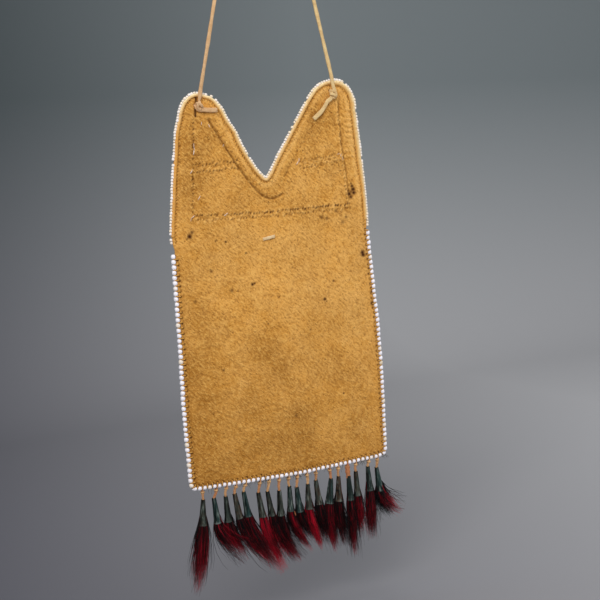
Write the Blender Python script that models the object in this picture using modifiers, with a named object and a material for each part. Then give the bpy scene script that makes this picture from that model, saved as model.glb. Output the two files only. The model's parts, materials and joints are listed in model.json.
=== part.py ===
"""Quilled hide pouch with a notched, two-horned back, beaded edges and a fringe of tin-cone tinklers.

Metres, +Z up. The pouch hangs by its thong strap, and the origin is the crown of the strap, where it
hangs. +X is to the right as seen from the plain back, which faces -Y. The quilled front and the pocket
face +Y. Shapes are drawn upwards from a line just above the bottom seam, and are then placed below the origin.
"""

import math

import bmesh
import bpy
from mathutils import Matrix, Vector

MM = 0.001

# Clearance between pieces that touch
GAP = 0.3 * MM

# Hide
HIDE_T = 1.2 * MM
SEAM_MARGIN = 5.0 * MM

# Pocket: the two panels up to the mouth, seen from the back
POCKET_HALF_LEFT = 71.9 * MM
POCKET_HALF_RIGHT = 71.6 * MM
POCKET_H = 162.0 * MM
MOUTH_TAKE_IN = 2.0 * MM
BELLY_OUT = 1.2 * MM
BELLY_AT = 90.0 * MM
BELLY_R = 90.0 * MM
SEAM_LOWEST_X = 5.0 * MM
SEAM_LOWEST_Z = -1.5 * MM
SEAM_SAG_LEFT = 2.2 * MM
SEAM_SAG_RIGHT = 1.8 * MM
SEAM_LOWEST_R = 120.0 * MM
SEAM_CORNER_R = 3.5 * MM
FRONT_BULGE = 9.5 * MM
BACK_BULGE = 3.0 * MM
BULGE_RISE = 42.0 * MM
BACK_FLAT_BELOW_MOUTH = 14.0 * MM
FRONT_LIP_BELOW_MOUTH = 1.5 * MM
PANEL_GRID = 26.0 * MM

# Yoke: the back panel above the mouth, with its notch and its two horns
YOKE_STEP_OUT = 0.9 * MM
YOKE_STEP_H = 3.0 * MM
LEFT_SHOULDER_IN = 9.0 * MM
LEFT_SHOULDER_RISE = 72.0 * MM
LEFT_HORN_OUTER_X = 55.3 * MM
LEFT_HORN_INNER_X = 34.8 * MM
LEFT_HORN_RISE = 98.0 * MM
RIGHT_HORN_OUTER_X = 66.8 * MM
RIGHT_HORN_INNER_X = 42.0 * MM
RIGHT_HORN_RISE = 102.6 * MM
HORN_SLOPE = 1.9 * MM
HORN_OUTER_R = 9.0 * MM
HORN_INNER_R = 13.0 * MM
SHOULDER_R = 30.0 * MM
NOTCH_X = -3.3 * MM
NOTCH_RISE = 35.7 * MM
NOTCH_R = 4.0 * MM

# Binding strip folded over the yoke's edge
BINDING_W = 2.5 * MM
BINDING_T = 0.4 * MM
BINDING_STEP = 0.4 * MM
BINDING_ABOVE_FOOT = 1.5 * MM

# Edge beads: small ones round the yoke, larger ones that close the pocket's sides and bottom
YOKE_BEAD_D = 1.9 * MM
YOKE_BEAD_PITCH = 2.2 * MM
YOKE_THREAD_D = 0.9 * MM
SEAM_BEAD_D = 2.9 * MM
SEAM_BEAD_PITCH = 3.5 * MM
SEAM_THREAD_D = 0.9 * MM
SEAM_BEADS_BELOW_MOUTH = 4.5 * MM
YOKE_BEADS_ABOVE_MOUTH = 4.5 * MM

# Quilled bands on the front: a low ridge each
QUILL_BAND_W = 3.6 * MM
QUILL_BAND_T = 0.5 * MM
QUILL_SINK = 0.5 * MM
BASE_BAND_RISE = 16.0 * MM
CROSS_BAND_RISE = 49.5 * MM
SIDE_BAND_LEFT_X = 53.0 * MM
SIDE_BAND_RIGHT_X = 57.0 * MM
SIDE_BAND_TOP_RISE = 84.0 * MM
NOTCH_BAND_IN = 17.0 * MM
NOTCH_BAND_REACH = 0.72
BAND_APART = 1.5 * MM
LANE_W = 6.0 * MM
LANE_HEIGHTS = (64.0 * MM, 118.0 * MM)
LANE_SIDE_IN = 7.0 * MM
LANE_STEP = 0.4 * MM

# Strap thong and its two fastenings through the horns
STRAP_D = 2.4 * MM
STRAP_STEP = 7.5 * MM
STRAP_TURN_STEP = 4.8 * MM
KNOT_W = 5.8 * MM
KNOT_H = 5.0 * MM
KNOT_T = 3.6 * MM
HANG_X = 10.5 * MM
HANG_Z = 392.0 * MM

# Closure thong: one flat stitch at the middle of the mouth
CLOSURE_X = -3.6 * MM
CLOSURE_L = 9.6 * MM
CLOSURE_W = 2.3 * MM
CLOSURE_T = 0.9 * MM
CLOSURE_TILT = math.radians(9.0)

# Tinklers: thong, tin cone and dyed hair
TIN_T = 0.35 * MM
CONE_TIP_R = 1.4 * MM
CONE_L = 17.6 * MM
CONE_SIDES = 7
THONG_W = 2.1 * MM
THONG_T = 1.0 * MM
THONG_NECK_W = 1.2 * MM
EYE_W = 0.9 * MM
EYE_WALL = 0.55 * MM
THONG_KNOT_W = 1.4 * MM
THONG_KNOT_T = 2.0 * MM
THONG_KNOT_H = 2.4 * MM
THONG_IN_CONE = 9.4 * MM
HAIR_TIP_R = 0.6 * MM
HAIR_FLARE = 2.2 * MM
TINKLERS_APART = 6.6 * MM

# One row a tinkler, left to right on the back: share of the half width, thong drop, cone mouth radius,
# lean of the cone, sweep of the hair and length of the hair below the mouth
TINKLERS = (
    (-0.907, 7.9, 2.9, -6.0, -8.0, 37.0),
    (-0.793, 7.9, 2.5, 4.0, 26.0, 30.0),
    (-0.690, 8.1, 2.5, 2.0, 26.0, 31.0),
    (-0.591, 7.3, 2.4, 7.0, 26.0, 43.0),
    (-0.485, 6.9, 2.4, 6.0, 23.5, 43.0),
    (-0.333, 9.1, 2.4, 5.5, 18.0, 42.0),
    (-0.238, 9.3, 2.4, 6.0, 14.5, 37.0),
    (-0.156, 10.1, 2.5, -1.4, 15.0, 41.0),
    (-0.033, 8.3, 2.4, -1.5, 19.0, 34.0),
    (0.050, 9.7, 2.8, 2.5, 21.0, 18.0),
    (0.149, 9.1, 2.8, -1.5, 13.0, 32.0),
    (0.243, 7.7, 2.5, 4.0, 8.0, 38.0),
    (0.397, 8.9, 2.9, -9.0, 7.0, 36.0),
    (0.496, 8.5, 2.9, -4.5, 3.5, 32.0),
    (0.601, 9.7, 2.6, 1.0, -2.0, 36.0),
    (0.670, 7.7, 2.4, 0.0, 0.0, 38.0),
    (0.806, 6.1, 2.8, 0.8, 0.0, 40.0),
    (0.924, 8.1, 2.9, 5.0, 18.0, 25.0),
)

# Strap route from its left tail's end, through the left horn, up over the hang point and down to the
# right tail's end: x, y and z in millimetres
STRAP_ROUTE = (
    (-33.6, -2.9, 249.5), (-39.5, -2.9, 248.7), (-45.0, -2.9, 249.1), (-48.2, -2.95, 251.0),
    (-49.1, -2.9, 253.0), (-49.3, -2.46, 254.06), (-49.4, -0.75, 254.5), (-49.0, 0.96, 254.35),
    (-48.0, 1.4, 254.0), (-46.5, 1.4, 253.4), (-45.5, 0.96, 253.05), (-45.1, -0.75, 252.9),
    (-45.08, -2.46, 253.35), (-45.0, -3.0, 254.5), (-44.7, -3.45, 257.5), (-44.1, -3.5, 260.8),
    (-36.4, -2.8, 289.4), (-28.0, -1.7, 320.5), (-20.2, -0.7, 349.4), (-14.0, -0.1, 372.0),
    (-7.2, 0.0, 384.5), (10.5, 0.0, 392.0), (28.2, 0.0, 384.5), (35.2, -0.1, 372.0),
    (38.7, -0.7, 349.6), (43.2, -1.7, 320.3), (47.8, -2.8, 290.4), (51.5, -3.5, 267.0),
    (52.6, -3.4, 262.5), (53.6, -3.0, 258.6), (53.95, -2.9, 256.5), (54.0, -2.46, 255.44),
    (54.0, -0.75, 255.0), (53.74, 0.96, 255.36), (53.1, 1.4, 256.2), (51.1, 1.4, 259.0),
    (50.46, 0.96, 259.84), (50.2, -0.75, 260.2), (50.16, -2.46, 259.76), (50.05, -2.95, 258.7),
    (49.5, -2.95, 256.6), (47.8, -2.9, 253.0), (42.4, -2.9, 246.4), (36.0, -2.9, 239.4),
)
STRAP_FREE_FROM = 16
STRAP_FREE_TO = 27
LEFT_HOLES = ((-49.4, 254.5), (-45.1, 252.9))
RIGHT_HOLES = ((54.0, 255.0), (50.2, 260.2))
LEFT_KNOT = (-47.0, 252.8)
RIGHT_KNOT = (51.8, 257.8)


def start_clean():
    for item in list(bpy.data.objects):
        bpy.data.objects.remove(item, do_unlink=True)


def make_collection(name):
    group = bpy.data.collections.new(name)
    bpy.context.scene.collection.children.link(group)
    return group


def make_material(name, colour, roughness, metallic=0.0):
    mat = bpy.data.materials.new(name)
    mat.use_nodes = True
    shader = mat.node_tree.nodes["Principled BSDF"]
    shader.inputs["Base Color"].default_value = (*colour, 1.0)
    shader.inputs["Roughness"].default_value = roughness
    shader.inputs["Metallic"].default_value = metallic
    mat.diffuse_color = (*colour, 1.0)
    return mat


def seat(obj, group, mat=None, parent=None, location=(0.0, 0.0, 0.0)):
    group.objects.link(obj)
    if mat:
        obj.data.materials.clear()
        obj.data.materials.append(mat)
    obj.parent = parent
    obj.location = location
    return obj


def solid_from(obj, name):
    """Turn a curve, or a mesh with modifiers, into one welded mesh object and drop the first object."""
    bpy.context.scene.collection.objects.link(obj)
    bpy.context.view_layer.update()
    graph = bpy.context.evaluated_depsgraph_get()
    mesh = bpy.data.meshes.new_from_object(obj.evaluated_get(graph))
    bpy.data.objects.remove(obj, do_unlink=True)
    bm = bmesh.new()
    bm.from_mesh(mesh)
    bmesh.ops.remove_doubles(bm, verts=bm.verts, dist=0.000002)
    bmesh.ops.recalc_face_normals(bm, faces=bm.faces)
    bm.to_mesh(mesh)
    bm.free()
    mesh.name = name
    return bpy.data.objects.new(name, mesh)


def box(name, centre, size, turn, group):
    """A box cutter or an added ridge: centre and size as (x, y, z), turned about Y."""
    bm = bmesh.new()
    bmesh.ops.create_cube(bm, size=1.0)
    bmesh.ops.scale(bm, vec=size, verts=bm.verts)
    mesh = bpy.data.meshes.new(name)
    bm.to_mesh(mesh)
    bm.free()
    obj = bpy.data.objects.new(name, mesh)
    obj.rotation_euler = (0.0, turn, 0.0)
    obj.hide_render = True
    obj.display_type = "WIRE"
    group.objects.link(obj)
    obj.location = centre
    return obj


def rounded(corners):
    """Outline of a polygon with filleted corners, as (x, z, normal x, normal z).

    Corners are (x, z, radius) and run clockwise as seen from the back, so the normal points out of the hide.
    """
    out = []
    count = len(corners)
    for i, (x, z, r) in enumerate(corners):
        here = Vector((x, z))
        back = (Vector(corners[i - 1][:2]) - here).normalized()
        on = (Vector(corners[(i + 1) % count][:2]) - here).normalized()
        turn = math.atan2(-back.x * on.y + back.y * on.x, -back.dot(on))
        bend = abs(turn)
        if bend < 0.005:
            n = Vector((-on.y, on.x))
            out.append((x, z, n.x, n.y))
            continue
        r = max(r, 0.0001)
        reach = r * math.tan(bend / 2)
        steps = max(1, round(bend / math.radians(19)))
        side = 1.0 if turn < 0 else -1.0
        into = (back + on).normalized()
        centre = here + into * math.hypot(reach, r)
        first = here + back * reach - centre
        for k in range(steps + 1):
            spoke = Matrix.Rotation(turn * k / steps, 2) @ first
            n = spoke.normalized() * side
            p = centre + spoke
            out.append((p.x, p.y, n.x, n.y))
    return out


def pocket_corners(top):
    """The pocket's corners from its right mouth, round the bottom, to its left mouth."""
    left = -POCKET_HALF_LEFT
    right = POCKET_HALF_RIGHT
    mouth = right - MOUTH_TAKE_IN
    belly = right + BELLY_OUT
    share_right = (top - BELLY_AT) / (POCKET_H - BELLY_AT)
    low_left = SEAM_LOWEST_Z + SEAM_SAG_LEFT
    share_left = (top - low_left) / (POCKET_H - low_left)
    return [
        (belly - (belly - mouth) * share_right, top, 0.0),
        (belly, BELLY_AT, BELLY_R),
        (right, SEAM_LOWEST_Z + SEAM_SAG_RIGHT, SEAM_CORNER_R),
        (SEAM_LOWEST_X, SEAM_LOWEST_Z, SEAM_LOWEST_R),
        (left, low_left, SEAM_CORNER_R),
        (left + MOUTH_TAKE_IN * share_left, top, 0.0),
    ]


def yoke_corners():
    """The yoke's corners from its left foot, over both horns, to its right foot."""
    foot = POCKET_H + YOKE_STEP_H
    left = -POCKET_HALF_LEFT + MOUTH_TAKE_IN - YOKE_STEP_OUT
    right = POCKET_HALF_RIGHT - MOUTH_TAKE_IN + YOKE_STEP_OUT
    return [
        (left, foot, 0.0),
        (left + LEFT_SHOULDER_IN, POCKET_H + LEFT_SHOULDER_RISE, SHOULDER_R),
        (-LEFT_HORN_OUTER_X, POCKET_H + LEFT_HORN_RISE, HORN_OUTER_R),
        (-LEFT_HORN_INNER_X, POCKET_H + LEFT_HORN_RISE - HORN_SLOPE, HORN_INNER_R),
        (NOTCH_X, POCKET_H + NOTCH_RISE, NOTCH_R),
        (RIGHT_HORN_INNER_X, POCKET_H + RIGHT_HORN_RISE, HORN_INNER_R),
        (RIGHT_HORN_OUTER_X, POCKET_H + RIGHT_HORN_RISE - HORN_SLOPE, HORN_OUTER_R),
        (right, foot, 0.0),
    ]


def edge_distance(x, z, outline):
    """Distance from a point to the outline."""
    p = Vector((x, z))
    best = 1.0
    for i in range(len(outline)):
        a = Vector(outline[i - 1][:2])
        b = Vector(outline[i][:2])
        ab = b - a
        t = min(1.0, max(0.0, (p - a).dot(ab) / max(ab.length_squared, 1e-12)))
        best = min(best, (a + ab * t - p).length)
    return best


def swell(x, z, outline, top, fade):
    """How far the filled pocket stands out at a point, from 0 at the seam to 1 in the middle."""
    half = (POCKET_HALF_LEFT + POCKET_HALF_RIGHT) / 2 - MOUTH_TAKE_IN - SEAM_MARGIN
    across = max(0.0, 1.0 - (x / half) ** 2)
    up = min(1.0, max(0.0, (z - SEAM_MARGIN) / BULGE_RISE))
    along = math.sin(up * math.pi / 2)
    down = min(1.0, max(0.0, (top - z) / fade)) if fade else 1.0
    return across * along * (3 - 2 * down) * down**2


def cut_across(bm, normal, place):
    everything = bm.verts[:] + bm.edges[:] + bm.faces[:]
    point = tuple(place * n for n in normal)
    bmesh.ops.bisect_plane(bm, geom=everything, dist=0.00002, plane_co=point, plane_no=normal)


def sheet(outline, cuts_x, cuts_z, ring_from=None, rings=()):
    """A flat sheet inside the outline, ringed along its edge above a height and cut into a grid."""
    bm = bmesh.new()
    verts = [bm.verts.new((p[0], 0.0, p[1])) for p in outline]
    edges = [bm.edges.new((verts[i - 1], verts[i])) for i in range(len(verts))]
    bmesh.ops.contextual_create(bm, geom=edges)
    if rings:
        cut_across(bm, (0, 0, 1), ring_from)
        inner = [f for f in bm.faces if f.calc_center_median().z > ring_from]
        for width in rings:
            bmesh.ops.inset_region(
                bm, faces=inner, thickness=width, use_even_offset=True, use_boundary=True
            )
    for place in cuts_x:
        cut_across(bm, (1, 0, 0), place)
    for place in cuts_z:
        cut_across(bm, (0, 0, 1), place)
    return bm


def shell(bm, name, middle, displace):
    """Stand the sheet on its curved middle surface and give it the hide's thickness."""
    bmesh.ops.remove_doubles(bm, verts=bm.verts, dist=0.00005)
    for v in bm.verts:
        v.co.y = middle(v.co.x, v.co.z)
    bmesh.ops.recalc_face_normals(bm, faces=bm.faces)
    mesh = bpy.data.meshes.new(name)
    bm.to_mesh(mesh)
    bm.free()
    obj = bpy.data.objects.new(name, mesh)
    solid = obj.modifiers.new("hide", "SOLIDIFY")
    solid.thickness = HIDE_T
    solid.offset = 0.0
    obj = solid_from(obj, name)
    for v in obj.data.vertices:
        level = middle(v.co.x, v.co.z)
        v.co.y += displace(v.co.x, v.co.z, 1.0 if v.co.y > level else -1.0)
    return obj


def grid(low, high, step):
    """Even cuts between two limits, no further apart than the step."""
    count = max(2, math.ceil((high - low) / step))
    return [low + (high - low) * i / count for i in range(1, count)]


def make_back_panel(outline, group, cutters, adders, mat, place):
    level = -(GAP + HIDE_T) / 2
    flat_from = POCKET_H - BACK_FLAT_BELOW_MOUTH
    bound_from = POCKET_H + YOKE_STEP_H + BINDING_ABOVE_FOOT

    def middle(x, z):
        return level - BACK_BULGE * swell(x, z, outline, flat_from, BULGE_RISE)

    def displace(x, z, side):
        inside = edge_distance(x, z, outline)
        bound = z > bound_from - 0.00005 and inside < BINDING_W + 0.00015
        return side * BINDING_T if bound else 0.0

    half = (POCKET_HALF_LEFT + POCKET_HALF_RIGHT) / 2 - MOUTH_TAKE_IN - SEAM_MARGIN
    cuts_x = [-half, *grid(-half, half, PANEL_GRID), half]
    cuts_z = [SEAM_MARGIN, *grid(SEAM_MARGIN, flat_from, PANEL_GRID), flat_from]
    bm = sheet(outline, cuts_x, cuts_z, bound_from, (BINDING_W, BINDING_STEP))
    obj = shell(bm, "back_panel", middle, displace)
    seat(obj, group, mat, location=place)

    front = level + HIDE_T / 2
    ridge_y = front + (QUILL_BAND_T - QUILL_SINK) / 2
    ridge_t = QUILL_BAND_T + QUILL_SINK

    def band(name, a, b):
        mid = (Vector(a) + Vector(b)) / 2
        along = Vector(b) - Vector(a)
        turn = math.atan2(along.x, along.y)
        centre = (place[0] + mid.x, ridge_y, place[2] + mid.y)
        box(name, centre, (QUILL_BAND_W, ridge_t, along.length), turn, adders)

    base = POCKET_H + BASE_BAND_RISE
    cross = POCKET_H + CROSS_BAND_RISE
    top = POCKET_H + SIDE_BAND_TOP_RISE
    clear = QUILL_BAND_W / 2 + BAND_APART
    lean = LEFT_SHOULDER_IN / LEFT_SHOULDER_RISE
    foot_left = -SIDE_BAND_LEFT_X - lean * (POCKET_H + CROSS_BAND_RISE - base) / 2
    top_left = foot_left + lean * (top - base)
    band("ridge_base", (foot_left - QUILL_BAND_W / 2, base), (SIDE_BAND_RIGHT_X + QUILL_BAND_W / 2, base))
    band("ridge_side_left", (foot_left, base + clear), (top_left, top))
    band("ridge_side_right", (SIDE_BAND_RIGHT_X, base + clear), (SIDE_BAND_RIGHT_X - BAND_APART, top))
    notch = Vector((NOTCH_X, POCKET_H + NOTCH_RISE))
    for side, horn_x, horn_z in (
        (-1, -LEFT_HORN_INNER_X, POCKET_H + LEFT_HORN_RISE - HORN_SLOPE),
        (1, RIGHT_HORN_INNER_X, POCKET_H + RIGHT_HORN_RISE),
    ):
        slope = (Vector((horn_x, horn_z)) - notch).normalized()
        square = Vector((slope.y, -slope.x)) * side
        foot = notch + square * NOTCH_BAND_IN
        drop = foot.y - (base + clear + QUILL_BAND_W / 2)
        low = foot - slope * (drop / slope.y)
        high = foot + slope * ((horn_z - foot.y) * NOTCH_BAND_REACH)
        low = low + slope * BAND_APART
        name = "left" if side < 0 else "right"
        band("ridge_notch_" + name, low, high)
        on_notch = low + slope * ((cross - low.y) / slope.y)
        reach = (QUILL_BAND_W / 2) / abs(slope.y) + BAND_APART
        edge_x = foot_left + lean * (cross - base) + clear if side < 0 else SIDE_BAND_RIGHT_X - clear
        band("ridge_cross_" + name, (edge_x, cross), (on_notch.x + side * reach, cross))

    for name, spots in (("left", LEFT_HOLES), ("right", RIGHT_HOLES)):
        for k, (x, z) in enumerate(spots):
            bm = bmesh.new()
            radius = STRAP_D / 2 + GAP
            bmesh.ops.create_cone(
                bm, cap_ends=True, segments=8, radius1=radius, radius2=radius, depth=HIDE_T * 5,
                matrix=Matrix.Rotation(math.pi / 2, 4, "X"),
            )
            mesh = bpy.data.meshes.new("strap_hole")
            bm.to_mesh(mesh)
            bm.free()
            hole = bpy.data.objects.new("hole_%s_%d" % (name, k), mesh)
            hole.hide_render = True
            hole.display_type = "WIRE"
            cutters.objects.link(hole)
            hole.location = (place[0] + x * MM, level, place[2] + z * MM)
    for k, side in enumerate((-1, 1)):
        along = side * (CLOSURE_L - CLOSURE_T) / 2
        x = CLOSURE_X + along * math.cos(CLOSURE_TILT)
        z = POCKET_H + along * math.sin(CLOSURE_TILT)
        size = (CLOSURE_T + 2 * GAP, HIDE_T * 5, CLOSURE_W + 2 * GAP)
        box("slot_%d" % k, (place[0] + x, level, place[2] + z), size, -CLOSURE_TILT, cutters)

    union = obj.modifiers.new("quilled bands", "BOOLEAN")
    union.operation = "UNION"
    union.operand_type = "COLLECTION"
    union.collection = adders
    cut = obj.modifiers.new("thong holes", "BOOLEAN")
    cut.operation = "DIFFERENCE"
    cut.operand_type = "COLLECTION"
    cut.collection = cutters
    return obj


def make_front_panel(outline, group, mat, place):
    level = (GAP + HIDE_T) / 2
    half = (POCKET_HALF_LEFT + POCKET_HALF_RIGHT) / 2 - MOUTH_TAKE_IN - SEAM_MARGIN
    lane_end = half + SEAM_MARGIN - LANE_SIDE_IN

    def middle(x, z):
        return level + FRONT_BULGE * swell(x, z, outline, 0.0, 0.0)

    def displace(x, z, side):
        quilled = any(abs(z - at) < LANE_W / 2 + 0.00005 for at in LANE_HEIGHTS)
        raised = side > 0 and quilled and abs(x) < lane_end + 0.00005
        return QUILL_BAND_T if raised else 0.0

    ends = [lane_end, lane_end + LANE_STEP]
    cuts_x = [*grid(-lane_end, lane_end, PANEL_GRID), *ends, -ends[0], -ends[1]]
    cuts_z = [SEAM_MARGIN, *grid(SEAM_MARGIN, POCKET_H - FRONT_LIP_BELOW_MOUTH, PANEL_GRID)]
    for at in LANE_HEIGHTS:
        for out in (LANE_W / 2, LANE_W / 2 + LANE_STEP):
            cuts_z += [at - out, at + out]
    reach = LANE_W / 2 + LANE_STEP + 3 * MM
    cuts_z = [z for z in cuts_z if all(
        abs(z - at) > reach or abs(abs(z - at) - LANE_W / 2) < LANE_STEP * 1.5 for at in LANE_HEIGHTS
    )]
    bm = sheet(outline, cuts_x, cuts_z)
    return seat(shell(bm, "front_panel", middle, displace), group, mat, location=place)


def open_part(outline, limit, above):
    """The part of a closed outline above or below a height, with an end point on each of its two sides."""
    count = len(outline)
    keep = [(p[1] > limit) == above for p in outline]
    start = next(i for i in range(count) if keep[i] and not keep[i - 1])
    part = []
    for k in range(count + 1):
        a = outline[(start + k - 1) % count]
        b = outline[(start + k) % count]
        if keep[(start + k - 1) % count] != keep[(start + k) % count]:
            t = (limit - a[1]) / (b[1] - a[1])
            along = (Vector(b[:2]) - Vector(a[:2])).normalized()
            part.append((a[0] + (b[0] - a[0]) * t, limit, -along.y, along.x))
        if not keep[(start + k) % count]:
            break
        part.append(b)
    return part


def parallel(outline, out):
    return [(x + nx * out, z + nz * out) for x, z, nx, nz in outline]


def walk(line, at):
    """The point at a length along a broken line."""
    for a, b in zip(line, line[1:]):
        a = Vector(a)
        b = Vector(b)
        step = (b - a).length
        if at <= step or b == Vector(line[-1]):
            return a + (b - a) * min(1.0, at / max(step, 1e-9))
        at -= step
    return Vector(line[-1])


def line_length(line):
    return sum((Vector(b) - Vector(a)).length for a, b in zip(line, line[1:]))


def bead_string(name, line, level, pitch, bead_r, thread_r, sides, gaps_held=()):
    """Beads threaded along a line: the thread's radius between them and their own at each middle.

    A gap that holds a thong keeps a bare length of thread, as wide as the thong's eye and its clearance.
    """
    total = line_length(line)
    count = max(2, round(total / pitch))
    pitch = total / count
    bare = EYE_W / 2 + GAP / 2
    stations = []
    for i in range(count + 1):
        if i in gaps_held:
            stations += [(i * pitch - bare, thread_r), (i * pitch + bare, thread_r)]
        else:
            stations.append((i * pitch, thread_r))
        if i < count:
            stations.append(((i + 0.5) * pitch, bead_r))
    ring = bpy.data.curves.new("bead_section", "CURVE")
    ring.dimensions = "2D"
    loop = ring.splines.new("POLY")
    loop.points.add(sides - 1)
    loop.use_cyclic_u = True
    for k, point in enumerate(loop.points):
        angle = 2 * math.pi * k / sides
        point.co = (math.cos(angle), math.sin(angle), 0.0, 1.0)
    section = bpy.data.objects.new("bead_section", ring)
    curve = bpy.data.curves.new(name, "CURVE")
    curve.dimensions = "3D"
    curve.bevel_mode = "OBJECT"
    curve.bevel_object = section
    curve.use_fill_caps = True
    spline = curve.splines.new("POLY")
    spline.points.add(len(stations) - 1)
    for point, (at, radius) in zip(spline.points, stations):
        x, z = walk(line, min(max(at, 0.0), total))
        point.co = (x, level, z, 1.0)
        point.radius = radius
    obj = solid_from(bpy.data.objects.new(name, curve), name)
    bpy.data.objects.remove(section, do_unlink=True)
    return obj


def smooth_route(points, first, last, long_step, short_step):
    """A smooth curve through the route's points, read at long steps on the free run and short ones at
    the turns."""
    pts = [Vector(p) * MM for p in points]
    out = [pts[0]]
    for i in range(len(pts) - 1):
        p0 = pts[max(i - 1, 0)]
        p1 = pts[i]
        p2 = pts[i + 1]
        p3 = pts[min(i + 2, len(pts) - 1)]
        span = (p2 - p1).length
        step = long_step if first <= i + 1 <= last else short_step
        count = max(1, round(span / step))
        t01 = math.sqrt(max((p1 - p0).length, 1e-9))
        t12 = math.sqrt(span)
        t23 = math.sqrt(max((p3 - p2).length, 1e-9))
        m1 = p2 - p1
        m2 = p2 - p1
        if i > 0:
            m1 = (p1 - p0) / t01 - (p2 - p0) / (t01 + t12) + (p2 - p1) / t12
            m1 = m1 * t12
        if i < len(pts) - 2:
            m2 = (p2 - p1) / t12 - (p3 - p1) / (t12 + t23) + (p3 - p2) / t23
            m2 = m2 * t12
        for k in range(1, count + 1):
            t = k / count
            h00 = 2 * t**3 - 3 * t**2 + 1
            h10 = t**3 - 2 * t**2 + t
            h01 = -2 * t**3 + 3 * t**2
            h11 = t**3 - t**2
            out.append(p1 * h00 + m1 * h10 + p2 * h01 + m2 * h11)
    return out


def tube(name, points, radii, sides_level):
    curve = bpy.data.curves.new(name, "CURVE")
    curve.dimensions = "3D"
    curve.bevel_depth = 1.0
    curve.bevel_resolution = sides_level
    curve.use_fill_caps = True
    spline = curve.splines.new("POLY")
    spline.points.add(len(points) - 1)
    for point, co, radius in zip(spline.points, points, radii):
        point.co = (*co, 1.0)
        point.radius = radius
    return bpy.data.objects.new(name, curve)


def make_strap(group, adders, mat, place):
    route = smooth_route(STRAP_ROUTE, STRAP_FREE_FROM, STRAP_FREE_TO, STRAP_STEP, STRAP_TURN_STEP)
    obj = solid_from(tube("strap", route, [STRAP_D / 2] * len(route), 1), "strap")
    seat(obj, group, mat, location=place)
    back = -(GAP + HIDE_T) / 2 - HIDE_T / 2
    for name, (x, z) in (("left", LEFT_KNOT), ("right", RIGHT_KNOT)):
        bm = bmesh.new()
        bmesh.ops.create_uvsphere(bm, u_segments=8, v_segments=5, radius=0.5)
        bmesh.ops.scale(bm, vec=(KNOT_W, KNOT_T, KNOT_H), verts=bm.verts)
        mesh = bpy.data.meshes.new("knot_" + name)
        bm.to_mesh(mesh)
        bm.free()
        knot = bpy.data.objects.new("knot_" + name, mesh)
        knot.hide_render = True
        knot.display_type = "WIRE"
        adders.objects.link(knot)
        knot.location = (place[0] + x * MM, back - GAP - KNOT_T / 2, place[2] + z * MM)
    union = obj.modifiers.new("knots", "BOOLEAN")
    union.operation = "UNION"
    union.operand_type = "COLLECTION"
    union.collection = adders
    return obj


def flat_ring(name, outer, inner, half):
    """A flat outline with a hole in it, extruded to both sides of its plane."""
    curve = bpy.data.curves.new(name, "CURVE")
    curve.dimensions = "2D"
    curve.fill_mode = "BOTH"
    curve.extrude = half
    for loop in (outer, inner):
        spline = curve.splines.new("POLY")
        spline.points.add(len(loop) - 1)
        spline.use_cyclic_u = True
        for point, (a, b) in zip(spline.points, loop):
            point.co = (a, b, 0.0, 1.0)
    return solid_from(bpy.data.objects.new(name, curve), name)


def make_closure(group, mat, place):
    """A flat thong sewn once through the back panel: over the hide, through it and closed behind it."""
    back = -(GAP + HIDE_T) / 2 - HIDE_T / 2 - GAP
    front = -(GAP + HIDE_T) / 2 + HIDE_T / 2 + GAP
    a = CLOSURE_L / 2
    t = CLOSURE_T
    cut = t * 0.4
    low = back - t
    high = front + t
    outer = [
        (-a, low + cut), (-a + cut, low), (a - cut, low), (a, low + cut),
        (a, high - cut), (a - cut, high), (-a + cut, high), (-a, high - cut),
    ]
    inner = [(-a + t, back), (-a + t, front), (a - t, front), (a - t, back)]
    obj = flat_ring("closure_thong", outer, inner, CLOSURE_W / 2)
    seat(obj, group, mat, location=(place[0] + CLOSURE_X, 0.0, place[2] + POCKET_H))
    obj.rotation_euler = (0.0, -CLOSURE_TILT, 0.0)
    return obj


def make_thong(name, drop, lean, parent, group, mat):
    """A thong looped over the edging thread, run into its cone and knotted there."""
    hole = SEAM_THREAD_D / 2 + GAP
    eye = hole + EYE_WALL
    half_t = THONG_T / 2
    waist = drop * 0.45
    knot_top = drop + THONG_IN_CONE - THONG_KNOT_H
    knot_low = drop + THONG_IN_CONE
    rows = [
        (eye * 0.93, EYE_W / 2), (waist, THONG_W / 2), (drop, THONG_NECK_W / 2),
        (knot_top, THONG_NECK_W / 2), (knot_low, THONG_KNOT_W / 2),
    ]
    depth = [half_t, half_t, half_t, half_t, THONG_KNOT_T / 2]
    crown = [(eye * math.cos(a), eye * math.sin(a)) for a in (math.radians(d) for d in range(-33, 216, 62))]
    outer = crown + [(-d, -at) for (at, _), d in zip(rows, depth)]
    outer += [(d, -at) for (at, _), d in zip(reversed(rows), reversed(depth))]
    bore = hole / math.cos(math.pi / 6)
    inner = [(bore * math.cos(k * math.pi / 3), -bore * math.sin(k * math.pi / 3)) for k in range(6)]
    obj = flat_ring(name, outer, inner, 1.0)
    stand = Matrix.Rotation(math.pi / 2, 4, "Y") @ Matrix.Rotation(math.pi / 2, 4, "Z")
    obj.data.transform(stand)
    slope = math.tan(lean)
    for v in obj.data.vertices:
        at = -v.co.z
        side = 1.0 if v.co.x > 0 else -1.0
        half = EYE_W / 2
        if at > rows[0][0] - 0.00005:
            half = min(rows, key=lambda r: abs(r[0] - at))[1]
        v.co.x = side * half + slope * max(0.0, at - drop)
    return seat(obj, group, mat, parent)


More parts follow.
